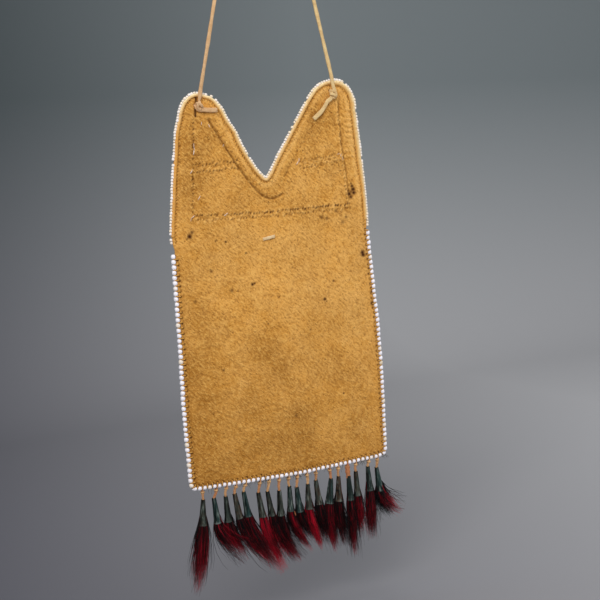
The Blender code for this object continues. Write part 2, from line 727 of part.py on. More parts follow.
def make_cone(name, drop, mouth_r, lean, parent, group, mat):
    """Rolled tin, open at both ends: a turned profile down the outside and up the inside."""
    mesh = bpy.data.meshes.new(name)
    profile = [
        (CONE_TIP_R, 0.0), (mouth_r, -CONE_L), (mouth_r - TIN_T, -CONE_L), (CONE_TIP_R - TIN_T, 0.0),
    ]
    edges = [(0, 1), (1, 2), (2, 3), (3, 0)]
    mesh.from_pydata([(r, 0.0, z) for r, z in profile], edges, [])
    obj = bpy.data.objects.new(name, mesh)
    turn = obj.modifiers.new("turn", "SCREW")
    turn.steps = CONE_SIDES
    turn.render_steps = CONE_SIDES
    turn.use_merge_vertices = True
    turn.merge_threshold = 0.00001
    turn.use_normal_calculate = True
    obj = solid_from(obj, name)
    obj.data.shade_smooth()
    obj.data.set_sharp_from_angle(angle=math.radians(50))
    seat(obj, group, mat, parent, (0.0, 0.0, -drop))
    obj.rotation_euler = (0.0, -lean, 0.0)
    return obj


def make_hair(name, drop, mouth_r, lean, sweep, length, parent, group, mat):
    """A lock of hair held in the cone, bending from the cone's line to its own sweep."""
    axis = Vector((math.sin(lean), 0.0, -math.cos(lean)))
    fall = Vector((math.sin(sweep), 0.0, -math.cos(sweep)))
    tip = Vector((0.0, 0.0, -drop))
    mouth = tip + axis * CONE_L
    end = mouth + fall * length
    bend = mouth + axis * (length * 0.33)
    inner_r = mouth_r - TIN_T
    flat = math.cos(math.pi / CONE_SIDES)
    in_r = CONE_TIP_R - TIN_T + (inner_r - CONE_TIP_R + TIN_T) * (THONG_IN_CONE + GAP) / CONE_L
    points = [tip + axis * (THONG_IN_CONE + GAP), mouth - axis * 0.2 * MM]
    radii = [in_r * flat - GAP, inner_r * flat - GAP]
    for t, swell_r in ((HAIR_FLARE / length, 0.96), (0.5, 0.7)):
        points.append(mouth * (1 - t) ** 2 + bend * (2 * t * (1 - t)) + end * t**2)
        radii.append(mouth_r * swell_r)
    points.append(end)
    radii.append(HAIR_TIP_R)
    obj = solid_from(tube(name, points, radii, 1), name)
    obj.data.shade_smooth()
    return seat(obj, group, mat, parent)


def main():
    start_clean()
    pouch = make_collection("quilled_pouch")
    cutters = make_collection("cutters")
    bands = bpy.data.collections.new("quilled_band_ridges")
    knots = bpy.data.collections.new("strap_knots")
    cutters.children.link(bands)
    cutters.children.link(knots)
    holes = bpy.data.collections.new("thong_holes")
    cutters.children.link(holes)
    place = (-HANG_X, 0.0, -HANG_Z)

    hide = make_material("smoked_hide", (0.51, 0.26, 0.065), 0.9)
    front_hide = make_material("front_hide", (0.49, 0.25, 0.065), 0.9)
    white_small = make_material("yoke_beads", (0.86, 0.83, 0.84), 0.3)
    white_large = make_material("seam_beads", (0.90, 0.88, 0.92), 0.25)
    strap_hide = make_material("strap_hide", (0.63, 0.42, 0.22), 0.85)
    thong_hide = make_material("thong_hide", (0.60, 0.25, 0.09), 0.85)
    tin = make_material("tin", (0.045, 0.06, 0.055), 0.42, 0.85)
    hair = make_material("dyed_hair", (0.12, 0.008, 0.012), 0.6)

    whole = rounded(yoke_corners() + pocket_corners(POCKET_H))
    pocket = rounded(pocket_corners(POCKET_H - FRONT_LIP_BELOW_MOUTH))
    make_back_panel(whole, pouch, holes, bands, hide, place)
    make_front_panel(pocket, pouch, front_hide, place)

    yoke = open_part(whole, POCKET_H + YOKE_BEADS_ABOVE_MOUTH, True)
    yoke_line = parallel(yoke, YOKE_BEAD_D / 2 + GAP)
    level = -(GAP + HIDE_T) / 2
    small = bead_string(
        "upper_bead_edging", yoke_line, level, YOKE_BEAD_PITCH, YOKE_BEAD_D / 2, YOKE_THREAD_D / 2, 4
    )
    seat(small, pouch, white_small, location=place)

    seam = open_part(whole, POCKET_H - SEAM_BEADS_BELOW_MOUTH, False)
    seam_line = parallel(seam, SEAM_BEAD_D / 2 + GAP)
    total = line_length(seam_line)
    count = max(2, round(total / SEAM_BEAD_PITCH))
    gaps = [(i, walk(seam_line, total * i / count)) for i in range(count + 1)]
    half = (POCKET_HALF_LEFT + POCKET_HALF_RIGHT) / 2
    held = {}
    nearest = -half
    for k, row in enumerate(TINKLERS):
        want = row[0] * half
        free = [g for g in gaps if g[1].y < SEAM_CORNER_R and g[1].x >= nearest]
        i, at = min(free, key=lambda g: abs(g[1].x - want))
        held[i] = (k, at)
        nearest = at.x + TINKLERS_APART
    large = bead_string(
        "lower_bead_edging", seam_line, 0.0, SEAM_BEAD_PITCH, SEAM_BEAD_D / 2, SEAM_THREAD_D / 2, 5,
        tuple(held),
    )
    seat(large, pouch, white_large, location=place)

    make_strap(pouch, knots, strap_hide, place)
    make_closure(pouch, strap_hide, place)

    for k, at in held.values():
        _, drop, mouth_r, lean, sweep, length = TINKLERS[k]
        tag = "%02d" % (k + 1)
        pivot = bpy.data.objects.new("tinkler_pivot_" + tag, None)
        pivot.empty_display_size = 0.003
        seat(pivot, pouch, location=(place[0] + at.x, 0.0, place[2] + at.y))
        lean = math.radians(lean)
        sweep = math.radians(sweep)
        make_thong("thong_" + tag, drop * MM, lean, pivot, pouch, thong_hide)
        make_cone("tin_cone_" + tag, drop * MM, mouth_r * MM, lean, pivot, pouch, tin)
        make_hair("hair_tuft_" + tag, drop * MM, mouth_r * MM, lean, sweep, length * MM, pivot, pouch, hair)


main()
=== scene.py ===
"""A quilled hide pouch that hangs by its thong strap, seen from its plain back, with its studio."""

import json
import math
import random
from collections import namedtuple

import bmesh
import bpy
import numpy as np
from bpy.props import (
    FloatProperty,
    FloatVectorProperty,
    IntProperty,
    PointerProperty,
)
from mathutils import Matrix, Vector, noise
from mathutils.bvhtree import BVHTree


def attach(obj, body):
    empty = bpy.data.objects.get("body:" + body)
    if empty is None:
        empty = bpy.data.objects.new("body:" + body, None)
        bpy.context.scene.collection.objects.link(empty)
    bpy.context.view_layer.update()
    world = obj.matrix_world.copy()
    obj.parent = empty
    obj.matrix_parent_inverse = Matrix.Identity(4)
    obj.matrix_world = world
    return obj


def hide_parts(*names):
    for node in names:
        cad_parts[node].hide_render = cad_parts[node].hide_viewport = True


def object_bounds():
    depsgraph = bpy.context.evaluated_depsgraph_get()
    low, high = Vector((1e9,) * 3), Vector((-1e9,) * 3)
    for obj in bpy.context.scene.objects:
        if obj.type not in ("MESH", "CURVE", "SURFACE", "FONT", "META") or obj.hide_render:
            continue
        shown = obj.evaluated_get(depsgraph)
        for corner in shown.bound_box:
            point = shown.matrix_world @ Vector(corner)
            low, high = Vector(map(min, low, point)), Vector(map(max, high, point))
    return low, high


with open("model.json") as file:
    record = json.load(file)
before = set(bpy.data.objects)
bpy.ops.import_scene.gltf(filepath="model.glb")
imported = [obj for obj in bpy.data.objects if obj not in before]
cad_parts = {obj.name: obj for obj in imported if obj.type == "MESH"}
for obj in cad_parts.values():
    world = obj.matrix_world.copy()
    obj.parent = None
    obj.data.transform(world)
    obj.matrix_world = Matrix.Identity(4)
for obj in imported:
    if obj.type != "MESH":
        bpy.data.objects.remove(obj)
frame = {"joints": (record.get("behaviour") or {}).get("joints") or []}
LOW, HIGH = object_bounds()

bl_info = {
    "name": "Quilled pouch",
    "version": (1, 0, 0),
    "blender": (4, 5, 0),
    "location": "3D View > Sidebar > Pouch",
    "description": "Builds a quilled hide pouch with beaded edges and tin-cone tinklers",
    "category": "Add Mesh",
}

# The hang point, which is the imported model's origin, from the middle of the bottom seam: right and up, in mm
MM = 0.001
HANG_X = 10.5
HANG_Z = 392.0

# Hide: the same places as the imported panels, in millimetres above the bottom seam
HIDE_T = 1.2
HIDE_GAP = 0.3
BACK_Y = -(HIDE_GAP + HIDE_T) / 2
FRONT_Y = (HIDE_GAP + HIDE_T) / 2
PIT_DEPTH = 0.45
EDGE_ROUND = 0.28
EDGE_STEP = 1.3
MOUTH_Z = 162.0
LIP_Z = 160.5
SWELL_HALF = 64.75
SWELL_FROM = 5.0
SWELL_RISE = 42.0
BACK_BULGE = 3.0
BACK_FLAT_FROM = 148.0
FRONT_BULGE = 9.5

# The hide's edge from the bottom left corner, clockwise as seen from the back: x, z in millimetres. The
# bottom edge between the two corners runs just above the edging's thread, where the tinklers hang.
LEFT_SIDE = [
    (-71.9, 3.6), (-72.0, 12), (-72.1, 24), (-72.2, 48), (-71.8, 64), (-71.3, 80), (-70.8, 96), (-70.5, 112),
    (-70.2, 130), (-69.9, 146), (-69.7, 157),
]
YOKE_EDGE = [
    (-70.9, 163.5), (-71.0, 168), (-70.1, 178), (-68.8, 187), (-66.5, 205), (-63.8, 222), (-62.1, 234),
    (-59.6, 243), (-57.0, 251), (-53.0, 256.8), (-47.4, 259.6), (-41.2, 258.7), (-35.8, 256.5), (-30.3, 249.8),
    (-26.2, 241.2), (-21.9, 234.2), (-19.6, 227.8), (-15.7, 219.8), (-9.7, 209.4), (-5.2, 203.6),
    (-2.4, 201.4), (0.1, 203.0), (7.4, 214.3), (18.1, 230), (28.9, 245.9), (35.2, 254.9), (41.2, 261.0),
    (49.5, 264.6), (58.4, 264.1), (64.1, 259.8), (67.3, 252.3), (68.1, 242), (69.0, 226), (70.1, 205),
    (70.9, 184), (70.9, 168), (70.6, 163.5),
]
RIGHT_SIDE = [
    (70.0, 157), (70.4, 144), (71.3, 122), (71.9, 110), (72.5, 99), (72.7, 80), (72.7, 60), (72.2, 36),
    (71.6, 16), (71.3, 4.6),
]
# The front hide's lip between the two sides
LIP = [
    (-69.5, LIP_Z - 0.7), (-68.3, LIP_Z), (-40.0, LIP_Z - 0.3), (0.0, LIP_Z), (36.0, LIP_Z - 0.4),
    (68.4, LIP_Z), (69.7, LIP_Z - 0.7),
]
CORNER_LEFT = [(-69.4, 0.8), (-71.4, 1.2)]
CORNER_RIGHT = [(70.7, 1.4), (68.6, 0.6)]

# The bead line's distance from the pocket's edge and the pitch of its beads; how far in from the edge a whip
# stitch enters the hide, and how far it slants along the edge, in mm
SEAM_OFF = 1.75
SEAM_PITCH = 3.5
STITCH_IN = 0.9
STITCH_SLANT = -0.5
# Where the beads at the right side are cream, in mm
CREAM_BEAD_Z = 65.0

# Marks on the back, x, z, half width, depth (all mm) and darkness: nicks, holes and worn spots in the hide;
# the darkness is partly their own colour and partly painted shade in the dents
MARKS = [
    (71.0, 108.6, 2.03, 0.5, 1.0), (71.6, 116.5, 1.86, 0.5, 1.0), (41.5, 127.6, 0.91, 0.4, 0.87),
    (33.6, 115.8, 1.35, 0.5, 1.0), (34.6, 114.2, 0.78, 0.4, 0.72), (-44.6, 76.5, 0.91, 0.4, 0.87),
    (42.2, 48.0, 0.91, 0.4, 0.87), (-59.3, 167.6, 2.03, 0.4, 1.0), (-57.4, 170.2, 1.52, 0.3, 0.8),
    (-61.2, 166.0, 0.91, 0.3, 0.72), (-41.5, 163.1, 0.78, 0.4, 0.87), (-34.6, 161.8, 0.91, 0.5, 1.0),
    (-18.6, 131.6, 1.35, 0.6, 1.0), (-17.0, 132.2, 0.91, 0.5, 1.0), (-33.6, 129.0, 1.52, 0.4, 0.72),
    (-29.5, 128.3, 0.78, 0.3, 0.72), (-21.0, 153.0, 0.91, 0.4, 0.8), (-46.5, 143.2, 1.52, 0.3, 0.65),
    (-0.5, 121.0, 0.78, 0.5, 0.87), (-59.5, 124.2, 1.35, 0.3, 0.65), (-10.3, 104.0, 0.78, 0.3, 0.65),
    (12.0, 140.0, 0.78, 0.3, 0.58), (20.5, 96.0, 0.78, 0.3, 0.65), (-36.0, 101.0, 0.65, 0.3, 0.58),
    (30.0, 74.0, 0.78, 0.3, 0.58), (55.0, 93.0, 0.65, 0.3, 0.65), (4.7, 38.1, 1.52, 0.3, 0.51),
    (-54.0, 48.0, 0.65, 0.3, 0.51), (52.6, 168.0, 1.52, 0.3, 0.58), (48.0, 176.0, 1.52, 0.3, 0.65),
    (55.5, 171.0, 1.35, 0.3, 0.58), (36.8, 172.4, 1.69, 0.3, 0.65), (40.6, 171.2, 1.52, 0.3, 0.58),
    (62.6, 190.0, 1.95, 0.7, 1.0), (62.9, 187.6, 1.9, 0.6, 1.0), (61.8, 192.2, 1.5, 0.5, 0.95),
    (61.2, 194.0, 1.0, 0.4, 0.8), (61.0, 188.4, 1.5, 0.5, 0.75), (59.4, 187.0, 1.8, 0.6, 1.0),
    (60.4, 184.9, 1.7, 0.5, 0.9), (58.6, 189.2, 1.2, 0.4, 0.7), (58.8, 192.6, 0.8, 0.4, 0.6),
    (66.3, 145.2, 1.95, 0.8, 1.0), (66.6, 143.6, 2.08, 0.8, 1.0), (41.5, 127.6, 0.45, 0.2, 0.45),
    (40.5, 126.1, 0.45, 0.2, 0.45), (39.5, 124.6, 0.45, 0.2, 0.45), (38.5, 123.2, 0.45, 0.2, 0.45),
    (37.5, 121.7, 0.45, 0.2, 0.45), (36.6, 120.2, 0.45, 0.2, 0.45), (35.6, 118.8, 0.45, 0.2, 0.45),
    (34.6, 117.3, 0.45, 0.2, 0.45), (33.6, 115.8, 0.45, 0.2, 0.45),
]

# Broad shades on the back, x, z, half width, half height (mm) and tone: below 0 darker, above 0 lighter
# Some of the darker ones, round the knots and along the strap's tails, are painted shadow of the strap
SHADES = [
    (-14.2, 88.9, 12.0, 11.0, -0.2), (4.7, 38.1, 9.0, 7.0, -0.16), (0.0, 0.0, 90.0, 55.0, -0.27),
    (-72.0, 45.0, 22.0, 48.0, -0.18), (0.0, 70.0, 12.0, 10.0, -0.12), (-46.0, 234.0, 12.0, 22.0, -0.2),
    (-60.0, 200.0, 14.0, 36.0, -0.16), (47.1, 238.0, 14.0, 12.0, -0.2), (34.0, 244.0, 7.0, 10.0, -0.26),
    (10.0, 150.0, 62.0, 34.0, 0.12), (60.0, 118.0, 18.0, 44.0, 0.14), (8.0, 160.0, 22.0, 9.0, 0.1),
    (62.6, 175.5, 6.0, 10.0, -0.06), (48.0, 172.0, 14.0, 8.0, 0.14), (-10.0, 186.0, 44.0, 6.0, -0.08),
    (30.0, 62.0, 16.0, 14.0, -0.08), (22.0, 197.0, 22.0, 9.0, 0.14), (0.5, 190.0, 9.0, 5.0, -0.12),
    (63.0, 230.0, 6.0, 24.0, 0.12), (47.0, 255.0, 8.0, 7.0, 0.06), (-58.0, 110.0, 10.0, 26.0, -0.08),
    (-40.0, 135.0, 16.0, 26.0, 0.12), (20.0, 128.0, 14.0, 10.0, 0.14), (24.0, 24.0, 12.0, 14.0, 0.14),
    (-64.0, 12.0, 14.0, 12.0, -0.2), (60.0, 104.0, 12.0, 16.0, 0.1), (-58.0, 72.0, 14.0, 30.0, -0.16),
    (50.0, 40.0, 20.0, 22.0, 0.12), (-40.0, 50.0, 18.0, 16.0, -0.06),
]

# Unevenness of the hides: share (mm of relief, or tone), size of the pattern (mm) and seed of each layer
BACK_SAG = ((0.55, 34.0, 1.0), (0.22, 13.0, 2.0), (0.09, 4.5, 3.0))
BACK_TONE = ((0.3, 26.0, 9.0), (0.2, 9.0, 10.0), (0.22, 3.0, 11.0))
FRONT_SAG = ((0.5, 30.0, 21.0), (0.15, 9.0, 22.0))
FRONT_TONE = ((0.4, 24.0, 23.0), (0.25, 7.0, 24.0))

# Quillwork lines: the needle's pits show on the back, the quills lie on the front: the two ends of each, in mm
QUILL_BANDS = {
    "base": ((-55.4, 178.0), (58.4, 178.4)),
    "side_left": ((-55.6, 182.6), (-49.3, 245.0)),
    "side_right": ((57.2, 183.0), (55.4, 245.0)),
    "cross_left": ((-51.4, 211.5), (-20.6, 212.6)),
    "cross_right": ((22.6, 208.8), (54.6, 213.0)),
    "notch_left": ((-4.6, 190.6), (-38.0, 241.0)),
    "notch_right": ((3.4, 190.6), (41.2, 246.0)),
}
BASE_LEFT = ((-54.0, 179.2), (0.0, 177.6))
BASE_RIGHT = ((0.0, 177.6), (60.0, 178.4))
# Rows of pits beside those lines: ends, shift to the side, wobble and radius in mm, darkness (painted shade
# in the pit) and share of the usual spacing
PIT_ROWS = (
    (BASE_LEFT, 1.5, 0.4, 0.68, 1.0, 0.8),
    (BASE_LEFT, -1.6, 0.5, 0.62, 0.6, 0.85),
    (BASE_RIGHT, 1.6, 0.4, 0.72, 1.0, 0.75),
    (BASE_RIGHT, -1.4, 0.6, 0.62, 0.6, 0.8),
    (QUILL_BANDS["cross_left"], 2.4, 0.6, 0.68, 0.85, 0.9),
    (QUILL_BANDS["cross_left"], -2.4, 0.6, 0.68, 0.85, 0.85),
    (QUILL_BANDS["cross_left"], 0.4, 0.9, 0.5, 0.85 * 0.7, 1.2),
    (QUILL_BANDS["cross_right"], 2.4, 0.6, 0.68, 0.55, 0.9),
    (QUILL_BANDS["cross_right"], -2.4, 0.6, 0.68, 0.55, 0.85),
    (QUILL_BANDS["cross_right"], 0.4, 0.9, 0.5, 0.55 * 0.7, 1.2),
    (QUILL_BANDS["side_left"], 0.2, 0.3, 0.66, 0.95, 0.9),
    (QUILL_BANDS["side_right"], 0.4, 0.3, 0.6, 0.7, 1.1),
    (((-8.0, 196.0), (-39.5, 242.5)), 0.0, 0.35, 0.5, 0.6, 1.5),
    (((6.0, 200.0), (40.0, 247.0)), -3.0, 0.8, 0.6, 0.5, 1.3),
)
# Fields of scattered pits: lower left and upper right corner in mm, and how many
PIT_FIELDS = (
    ((26, 200), (58, 222), 90), ((30, 222), (56, 250), 40), ((-54, 198), (-38, 240), 40),
    ((-30, 184), (30, 200), 26),
)
# How many small lumps lie along each line
LUMPS = {"base": 90, "cross_left": 26, "cross_right": 56, "side_left": 16, "side_right": 18}
# The quilled lanes on the pocket's front: heights, half length and half width, in mm
LANES = (64.0, 118.0)
LANE_HALF_LONG = 59.0
LANE_HALF_WIDE = 1.55
QUILL_WIDE = 3.1
QUILL_BLOCK = 6

# A groove and a raised fold on the yoke's back, and a cut in the left horn beside the knot
GROOVE = [(-39.6, 243.5), (-33.0, 231.0), (-26.0, 218.5), (-18.5, 206.5), (-10.5, 195.6), (-4.0, 189.6),
          (2.5, 188.0), (9.0, 190.8)]
RIDGE = [(54.6, 252.0), (54.6, 235.0), (55.3, 218.0), (56.3, 206.0), (57.3, 183.0)]
SLIT = [(-46.4, 258.0), (-46.8, 255.0), (-47.3, 252.5), (-47.8, 250.0), (-47.9, 247.5), (-47.9, 245.5)]
# Wrinkles in the right horn: from x, to x, from z, to z and the length of one, in mm
WRINKLES = (58.0, 67.0, 205.0, 252.0, 3.6)

# How pale the binding strip is along the yoke's edge: point of YOKE_EDGE and share of cream
PALE_EDGE = ((0, 0.1), (6, 0.15), (9, 1.0), (12, 1.0), (14, 0.75), (19, 0.75), (21, 0.55), (24, 0.6), (26, 1.0),
             (29, 1.0), (31, 0.9), (33, 0.7), (36, 0.6))
# The strip's section, across the edge and through the hide, in mm: it reaches BINDING_IN inwards
BINDING_IN = 1.5
BINDING = [(-1.5, -0.5), (-1.3, -0.92), (-0.7, -1.14), (0.1, -1.1), (0.65, -0.8), (0.95, 0.0), (0.65, 0.75),
           (0.0, 1.0), (-0.8, 1.08), (-1.3, 0.9), (-1.5, 0.5)]

# Strap route from its left tail's end over the hang point to its right tail's end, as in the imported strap
STRAP_ROUTE = (
    (-33.2, -2.75, 249.0), (-38.6, -2.9, 249.2), (-43.0, -3.0, 249.7), (-45.6, -3.0, 249.9),
    (-47.2, -2.9, 251.2), (-47.4, -2.46, 252.6), (-47.45, -0.75, 253.0), (-47.3, 0.96, 253.1),
    (-46.8, 1.4, 253.5), (-45.9, 1.4, 254.0), (-45.3, 0.96, 254.25), (-45.05, -0.75, 254.3),
    (-45.05, -2.46, 254.6), (-45.1, -3.1, 255.6), (-44.7, -3.4, 257.5), (-44.1, -3.5, 260.8),
    (-36.4, -2.8, 289.4), (-28.0, -1.7, 320.5), (-20.2, -0.7, 349.4), (-14.0, -0.1, 372.0),
    (-7.2, 0.0, 384.5), (10.5, 0.0, 392.0), (28.2, 0.0, 384.5), (35.2, -0.1, 372.0),
    (38.7, -0.7, 349.6), (43.2, -1.7, 320.3), (47.8, -2.8, 290.4), (51.5, -3.5, 267.0),
    (52.0, -3.4, 262.5), (52.6, -3.3, 259.5), (53.3, -2.9, 257.5), (53.6, -2.3, 256.5),
    (53.7, -0.75, 256.2), (53.5, 0.96, 256.5), (52.9, 1.4, 257.0), (51.4, 1.4, 258.1),
    (50.8, 0.96, 258.5), (50.6, -0.75, 258.6), (50.65, -2.4, 258.2), (50.8, -2.95, 256.5),
    (50.8, -3.0, 254.6), (49.6, -3.0, 252.9), (47.4, -2.95, 251.6), (45.4, -2.9, 248.8),
    (42.2, -2.9, 244.9), (38.6, -2.9, 242.0), (35.8, -2.9, 239.8),
)
STRAP_HOLES = ((-47.4, 252.9), (-45.1, 254.4), (53.7, 256.3), (50.6, 258.7))
STRAP_HOLE_R = 1.35
# Above the first height the strap hangs free of the hide, below the second it is a tail, in mm
STRAP_FREE_Z = 262.0
STRAP_TAIL_Z = 254.0
# The knots' turns over the strap: path of each, width and thickness
KNOTS = {
    "left": (((-44.6, -3.3, 255.0), (-45.7, -4.3, 253.9), (-46.7, -4.4, 252.4), (-46.8, -3.9, 251.0),
              (-45.8, -3.7, 250.1), (-44.2, -3.6, 249.8)), 1.9, 1.1),
    "left_wrap": (((-47.6, -2.9, 253.4), (-46.6, -4.5, 253.7), (-45.2, -5.0, 252.9), (-44.0, -4.4, 251.7),
                   (-43.3, -3.0, 250.6)), 2.0, 1.0),
    "right": (((50.6, -2.6, 257.4), (51.6, -3.8, 258.2), (53.0, -4.1, 257.6), (53.8, -3.8, 256.0),
               (53.4, -3.6, 254.4), (52.0, -3.7, 253.6), (50.6, -3.5, 254.0)), 1.9, 1.1),
    "right_wrap": (((49.5, -2.9, 256.4), (50.0, -4.2, 256.2), (51.4, -4.9, 255.6), (52.8, -4.7, 254.8),
                    (53.7, -3.6, 254.1), (53.9, -2.6, 253.9)), 2.0, 1.0),
}
# The closure stitch: its middle's x and z, its length (all mm) and its tilt in degrees
CLOSURE = (-3.6, 162.0, 9.6, 9.0)

# One row a tinkler: thong drop, radius of the cone's mouth, lean of the cone, lean and length of the hair, its
# flare, its share of red, side of the red (-1 left, 1 right), rust on the tin, how far the thong carries the
# cone's tip sideways, how blue-green the tin is and how red the thong; in mm and degrees
Tinkler = namedtuple("Tinkler", "drop mouth lean fall long flare red red_side rust aside teal warm")
TINKLERS = [Tinkler(*row) for row in (
    (7.9, 2.9, -6.0, -10.0, 48.0, 7.4, 0.5, 0.7, 0.3, 0.0, 0.2, 0.5),
    (7.9, 2.5, 4.0, 34.0, 35.5, 6.4, 0.5, 0.8, 0.0, -3.0, 0.7, 0.7),
    (8.1, 2.5, 2.0, 26.0, 32.0, 5.4, 0.4, -0.2, 0.1, -1.6, 0.2, 0.3),
    (7.3, 2.4, 7.0, 31.0, 47.0, 6.2, 0.3, 0.3, 0.7, -2.0, 0.0, 0.5),
    (6.9, 2.4, 6.0, 24.0, 44.5, 6.0, 0.45, 0.9, 0.0, -2.4, 0.8, 0.1),
    (9.1, 2.4, 5.5, 19.0, 45.0, 4.4, 0.8, -0.3, 0.3, -2.2, 0.1, 0.6),
    (9.3, 2.4, 6.0, 24.0, 41.0, 5.0, 0.5, -0.5, 0.3, -2.6, 0.2, 0.2),
    (10.1, 2.5, -1.4, 17.0, 37.0, 4.6, 0.4, 0.3, 0.2, -0.8, 0.1, 0.7),
    (8.3, 2.4, -1.5, 23.0, 35.0, 5.2, 0.35, 0.6, 0.15, 0.0, 0.7, 0.3),
    (9.7, 2.8, 2.5, 21.0, 24.5, 4.8, 0.3, 0.2, 0.1, -1.6, 0.8, 0.5),
    (9.1, 2.8, -1.5, 15.0, 32.0, 4.6, 0.8, 0.0, 0.4, 0.0, 0.1, 0.2),
    (7.7, 2.5, 4.0, 12.0, 34.0, 5.4, 0.45, 0.6, 0.7, -0.6, 0.0, 0.4),
    (8.9, 2.9, -9.0, 4.0, 37.5, 4.8, 0.65, 0.5, 0.15, 0.6, 0.7, 0.8),
    (8.5, 2.9, -4.5, 5.0, 34.0, 5.6, 0.38, 0.2, 1.0, -0.4, 0.0, 0.4),
    (9.7, 2.6, 1.0, -2.0, 43.0, 4.6, 0.3, 0.5, 0.1, 0.3, 0.6, 0.9),
    (7.7, 2.4, 0.0, 0.0, 32.0, 4.4, 0.5, 0.9, 0.5, -0.6, 0.1, 0.6),
    (6.1, 2.8, 0.8, -1.0, 41.0, 5.2, 0.4, -0.6, 0.2, -1.4, 0.7, 0.3),
    (8.1, 2.9, 5.0, 32.0, 24.0, 7.4, 0.45, 0.6, 0.05, -1.4, 0.7, 0.2),
)]
# The tinklers that differ: a cone with a bright rim, a broad thong, and a thong whose end hangs from its cone
BRIGHT_RIM = 2
BROAD_THONG = 15
LONG_THONG = 9
# Stray hairs of the hide under the bottom beads: from x, to x (mm) and how many
FUZZ = ((-36.0, -15.5, 60), (-6.5, 10.5, 60), (10.5, 40.0, 26), (47.5, 57.5, 36), (68.5, 72.0, 16),
        (-68.0, -40.0, 14))
# Pale thread ends on the back: x, z (mm) and the way they lie, in degrees from level
THREAD_ENDS = (
    (-50.9, 226.8, 80), (-50.9, 224.5, 95), (-51.4, 222.4, 70), (-54.2, 210.0, 60), (-39.3, 239.0, 100),
    (-30.9, 225.5, 60), (-44.4, 240.8, 80), (-50.6, 192.3, 60), (54.8, 214.3, 70), (55.8, 212.0, 100),
    (52.9, 215.1, 20), (21.7, 210.8, 50), (23.1, 212.8, 80), (-32.9, 180.1, 30), (-57.5, 178.4, 80),
    (-55.9, 180.3, 40),
)
# How many locks a tuft's hairs draw into; a cone's tip radius and length and its thong's reach inside, in mm
LOCKS = 7
CONE_TIP_R = 1.4
CONE_L = 17.6
THONG_IN_CONE = 9.4

# The camera's place in metres and its turn in degrees: right, down and round its own axis
CAMERA_AT = (-0.2823, -0.68621, -0.20282)
CAMERA_TURN = (22.758, 5.54, -4.624)
# The backdrop in metres: its floor's distance below the hair, where it starts and begins to rise, the radius of
# that bend, its height and half width, and the stretch over which its painted shade fades from left to right
FLOOR_UNDER = 0.035
FLOOR_FRONT, BEND_FROM, BEND_R = -1.3, 0.75, 0.5
WALL_HIGH, HALF_WIDE = 2.2, 2.6
LIGHTENS = (-0.24, 0.58)
# Colours of the lights and of the room
KEY_TINT, FILL_TINT, TOP_TINT = (1.0, 0.985, 0.96), (0.94, 0.97, 1.0), (1.0, 1.0, 1.0)
ROOM_TINT = (0.93, 0.96, 1.0, 1.0)
TOP_POWER = 5.0


def rgb(hexa):
    """A colour that was read as eight-bit values, as linear light."""
    out = []
    for k in (0, 2, 4):
        c = int(hexa[k:k + 2], 16) / 255
        out.append(c / 12.92 if c <= 0.04045 else ((c + 0.055) / 1.055) ** 2.4)
    return tuple(out)


def colour(name, description, hexa):
    return FloatVectorProperty(
        name=name, description=description, subtype="COLOR", size=3, min=0.0, max=1.0, default=rgb(hexa)
    )


def length(name, description, millimetres):
    return FloatProperty(
        name=name, description=description, unit="LENGTH", default=millimetres * MM, min=0.0, precision=5
    )


def power(name, description, watts):
    return FloatProperty(name=name, description=description, unit="POWER", default=watts, min=0.0)


class PouchStage(bpy.types.PropertyGroup):
    focal: FloatProperty(name="Field of view", description="Horizontal angle the camera sees", subtype="ANGLE",
                         default=math.radians(31.0))
    key: power("Key light", "Power of the large soft light", 17.0)
    fill: power("Fill light", "Power of the light opposite the key", 6.0)
    sky: FloatProperty(name="Room light", description="Strength of the even light all round", default=0.42)
    # Painted shade: floor and backdrop are darker on the left, and the backdrop darker than the floor
    floor: colour("Floor", "Colour of the pale floor", "b8b7b9")
    floor_left: colour("Floor, left", "Colour of the floor's shaded side", "5f5f67")
    wall: colour("Backdrop", "Colour of the backdrop behind", "838a8c")
    wall_left: colour("Backdrop, left", "Colour of the backdrop's darker side", "363e41")


class PouchHide(bpy.types.PropertyGroup):
    grid: length("Grid", "Spacing of the hide's mesh", 1.5)
    pit: length("Pit spacing", "Distance between the needle's pits along a row", 2.5)
    pit_depth: length("Pit depth", "Depth of a needle's pit", PIT_DEPTH)
    light: colour("Light hide", "Colour of the lighter hide", "f2ba6a")
    nap_highlight: colour("Nap, light", "Colour of the nap where it catches the light", "f4bf68")
    smoke: colour("Nap, dark", "Colour of the nap's dark flecks", "7c4a14")
    mid: colour("Hide", "Main colour of the smoked hide", "da9840")
    dark: colour("Dark hide", "Colour of the shaded and smoky hide", "a36c28")
    # The pits, nicks, holes and slit, the groove and the side of the raised fold are darkened towards this
    # colour as painted shade
    pitted: colour("Pits", "Colour inside pits, nicks and stitch holes", "44200a")
    binding: colour("Binding", "Colour of the strip that binds the yoke", "fbe8b8")
    binding_low: colour("Binding, inner side", "Colour of the strip where it meets the hide", "e4b469")


class PouchBeads(bpy.types.PropertyGroup):
    yoke: length("Yoke bead", "Diameter of a bead on the yoke", 2.05)
    yoke_pitch: length("Yoke pitch", "Distance between beads on the yoke", 1.95)
    seam: length("Seam bead", "Diameter of a bead on the pocket's seam", 3.2)
    white: colour("Beads", "Colour of the opaque white beads", "fcf8ff")
    thread: colour("Thread", "Colour of the sewing thread", "cf9a46")


class PouchStrap(bpy.types.PropertyGroup):
    width: length("Strap width", "Width of the flat strap thong", 2.6)
    thick: length("Strap thickness", "Thickness of the strap thong", 1.3)
    pale: colour("Strap", "Colour of the pale strap thong", "e2ba8c")
    shade: colour("Strap shade", "Colour of the strap's worn edges", "b48454")
    cream: colour("Strap, right run", "Colour of the strap's lighter, yellower run", "ecd096")


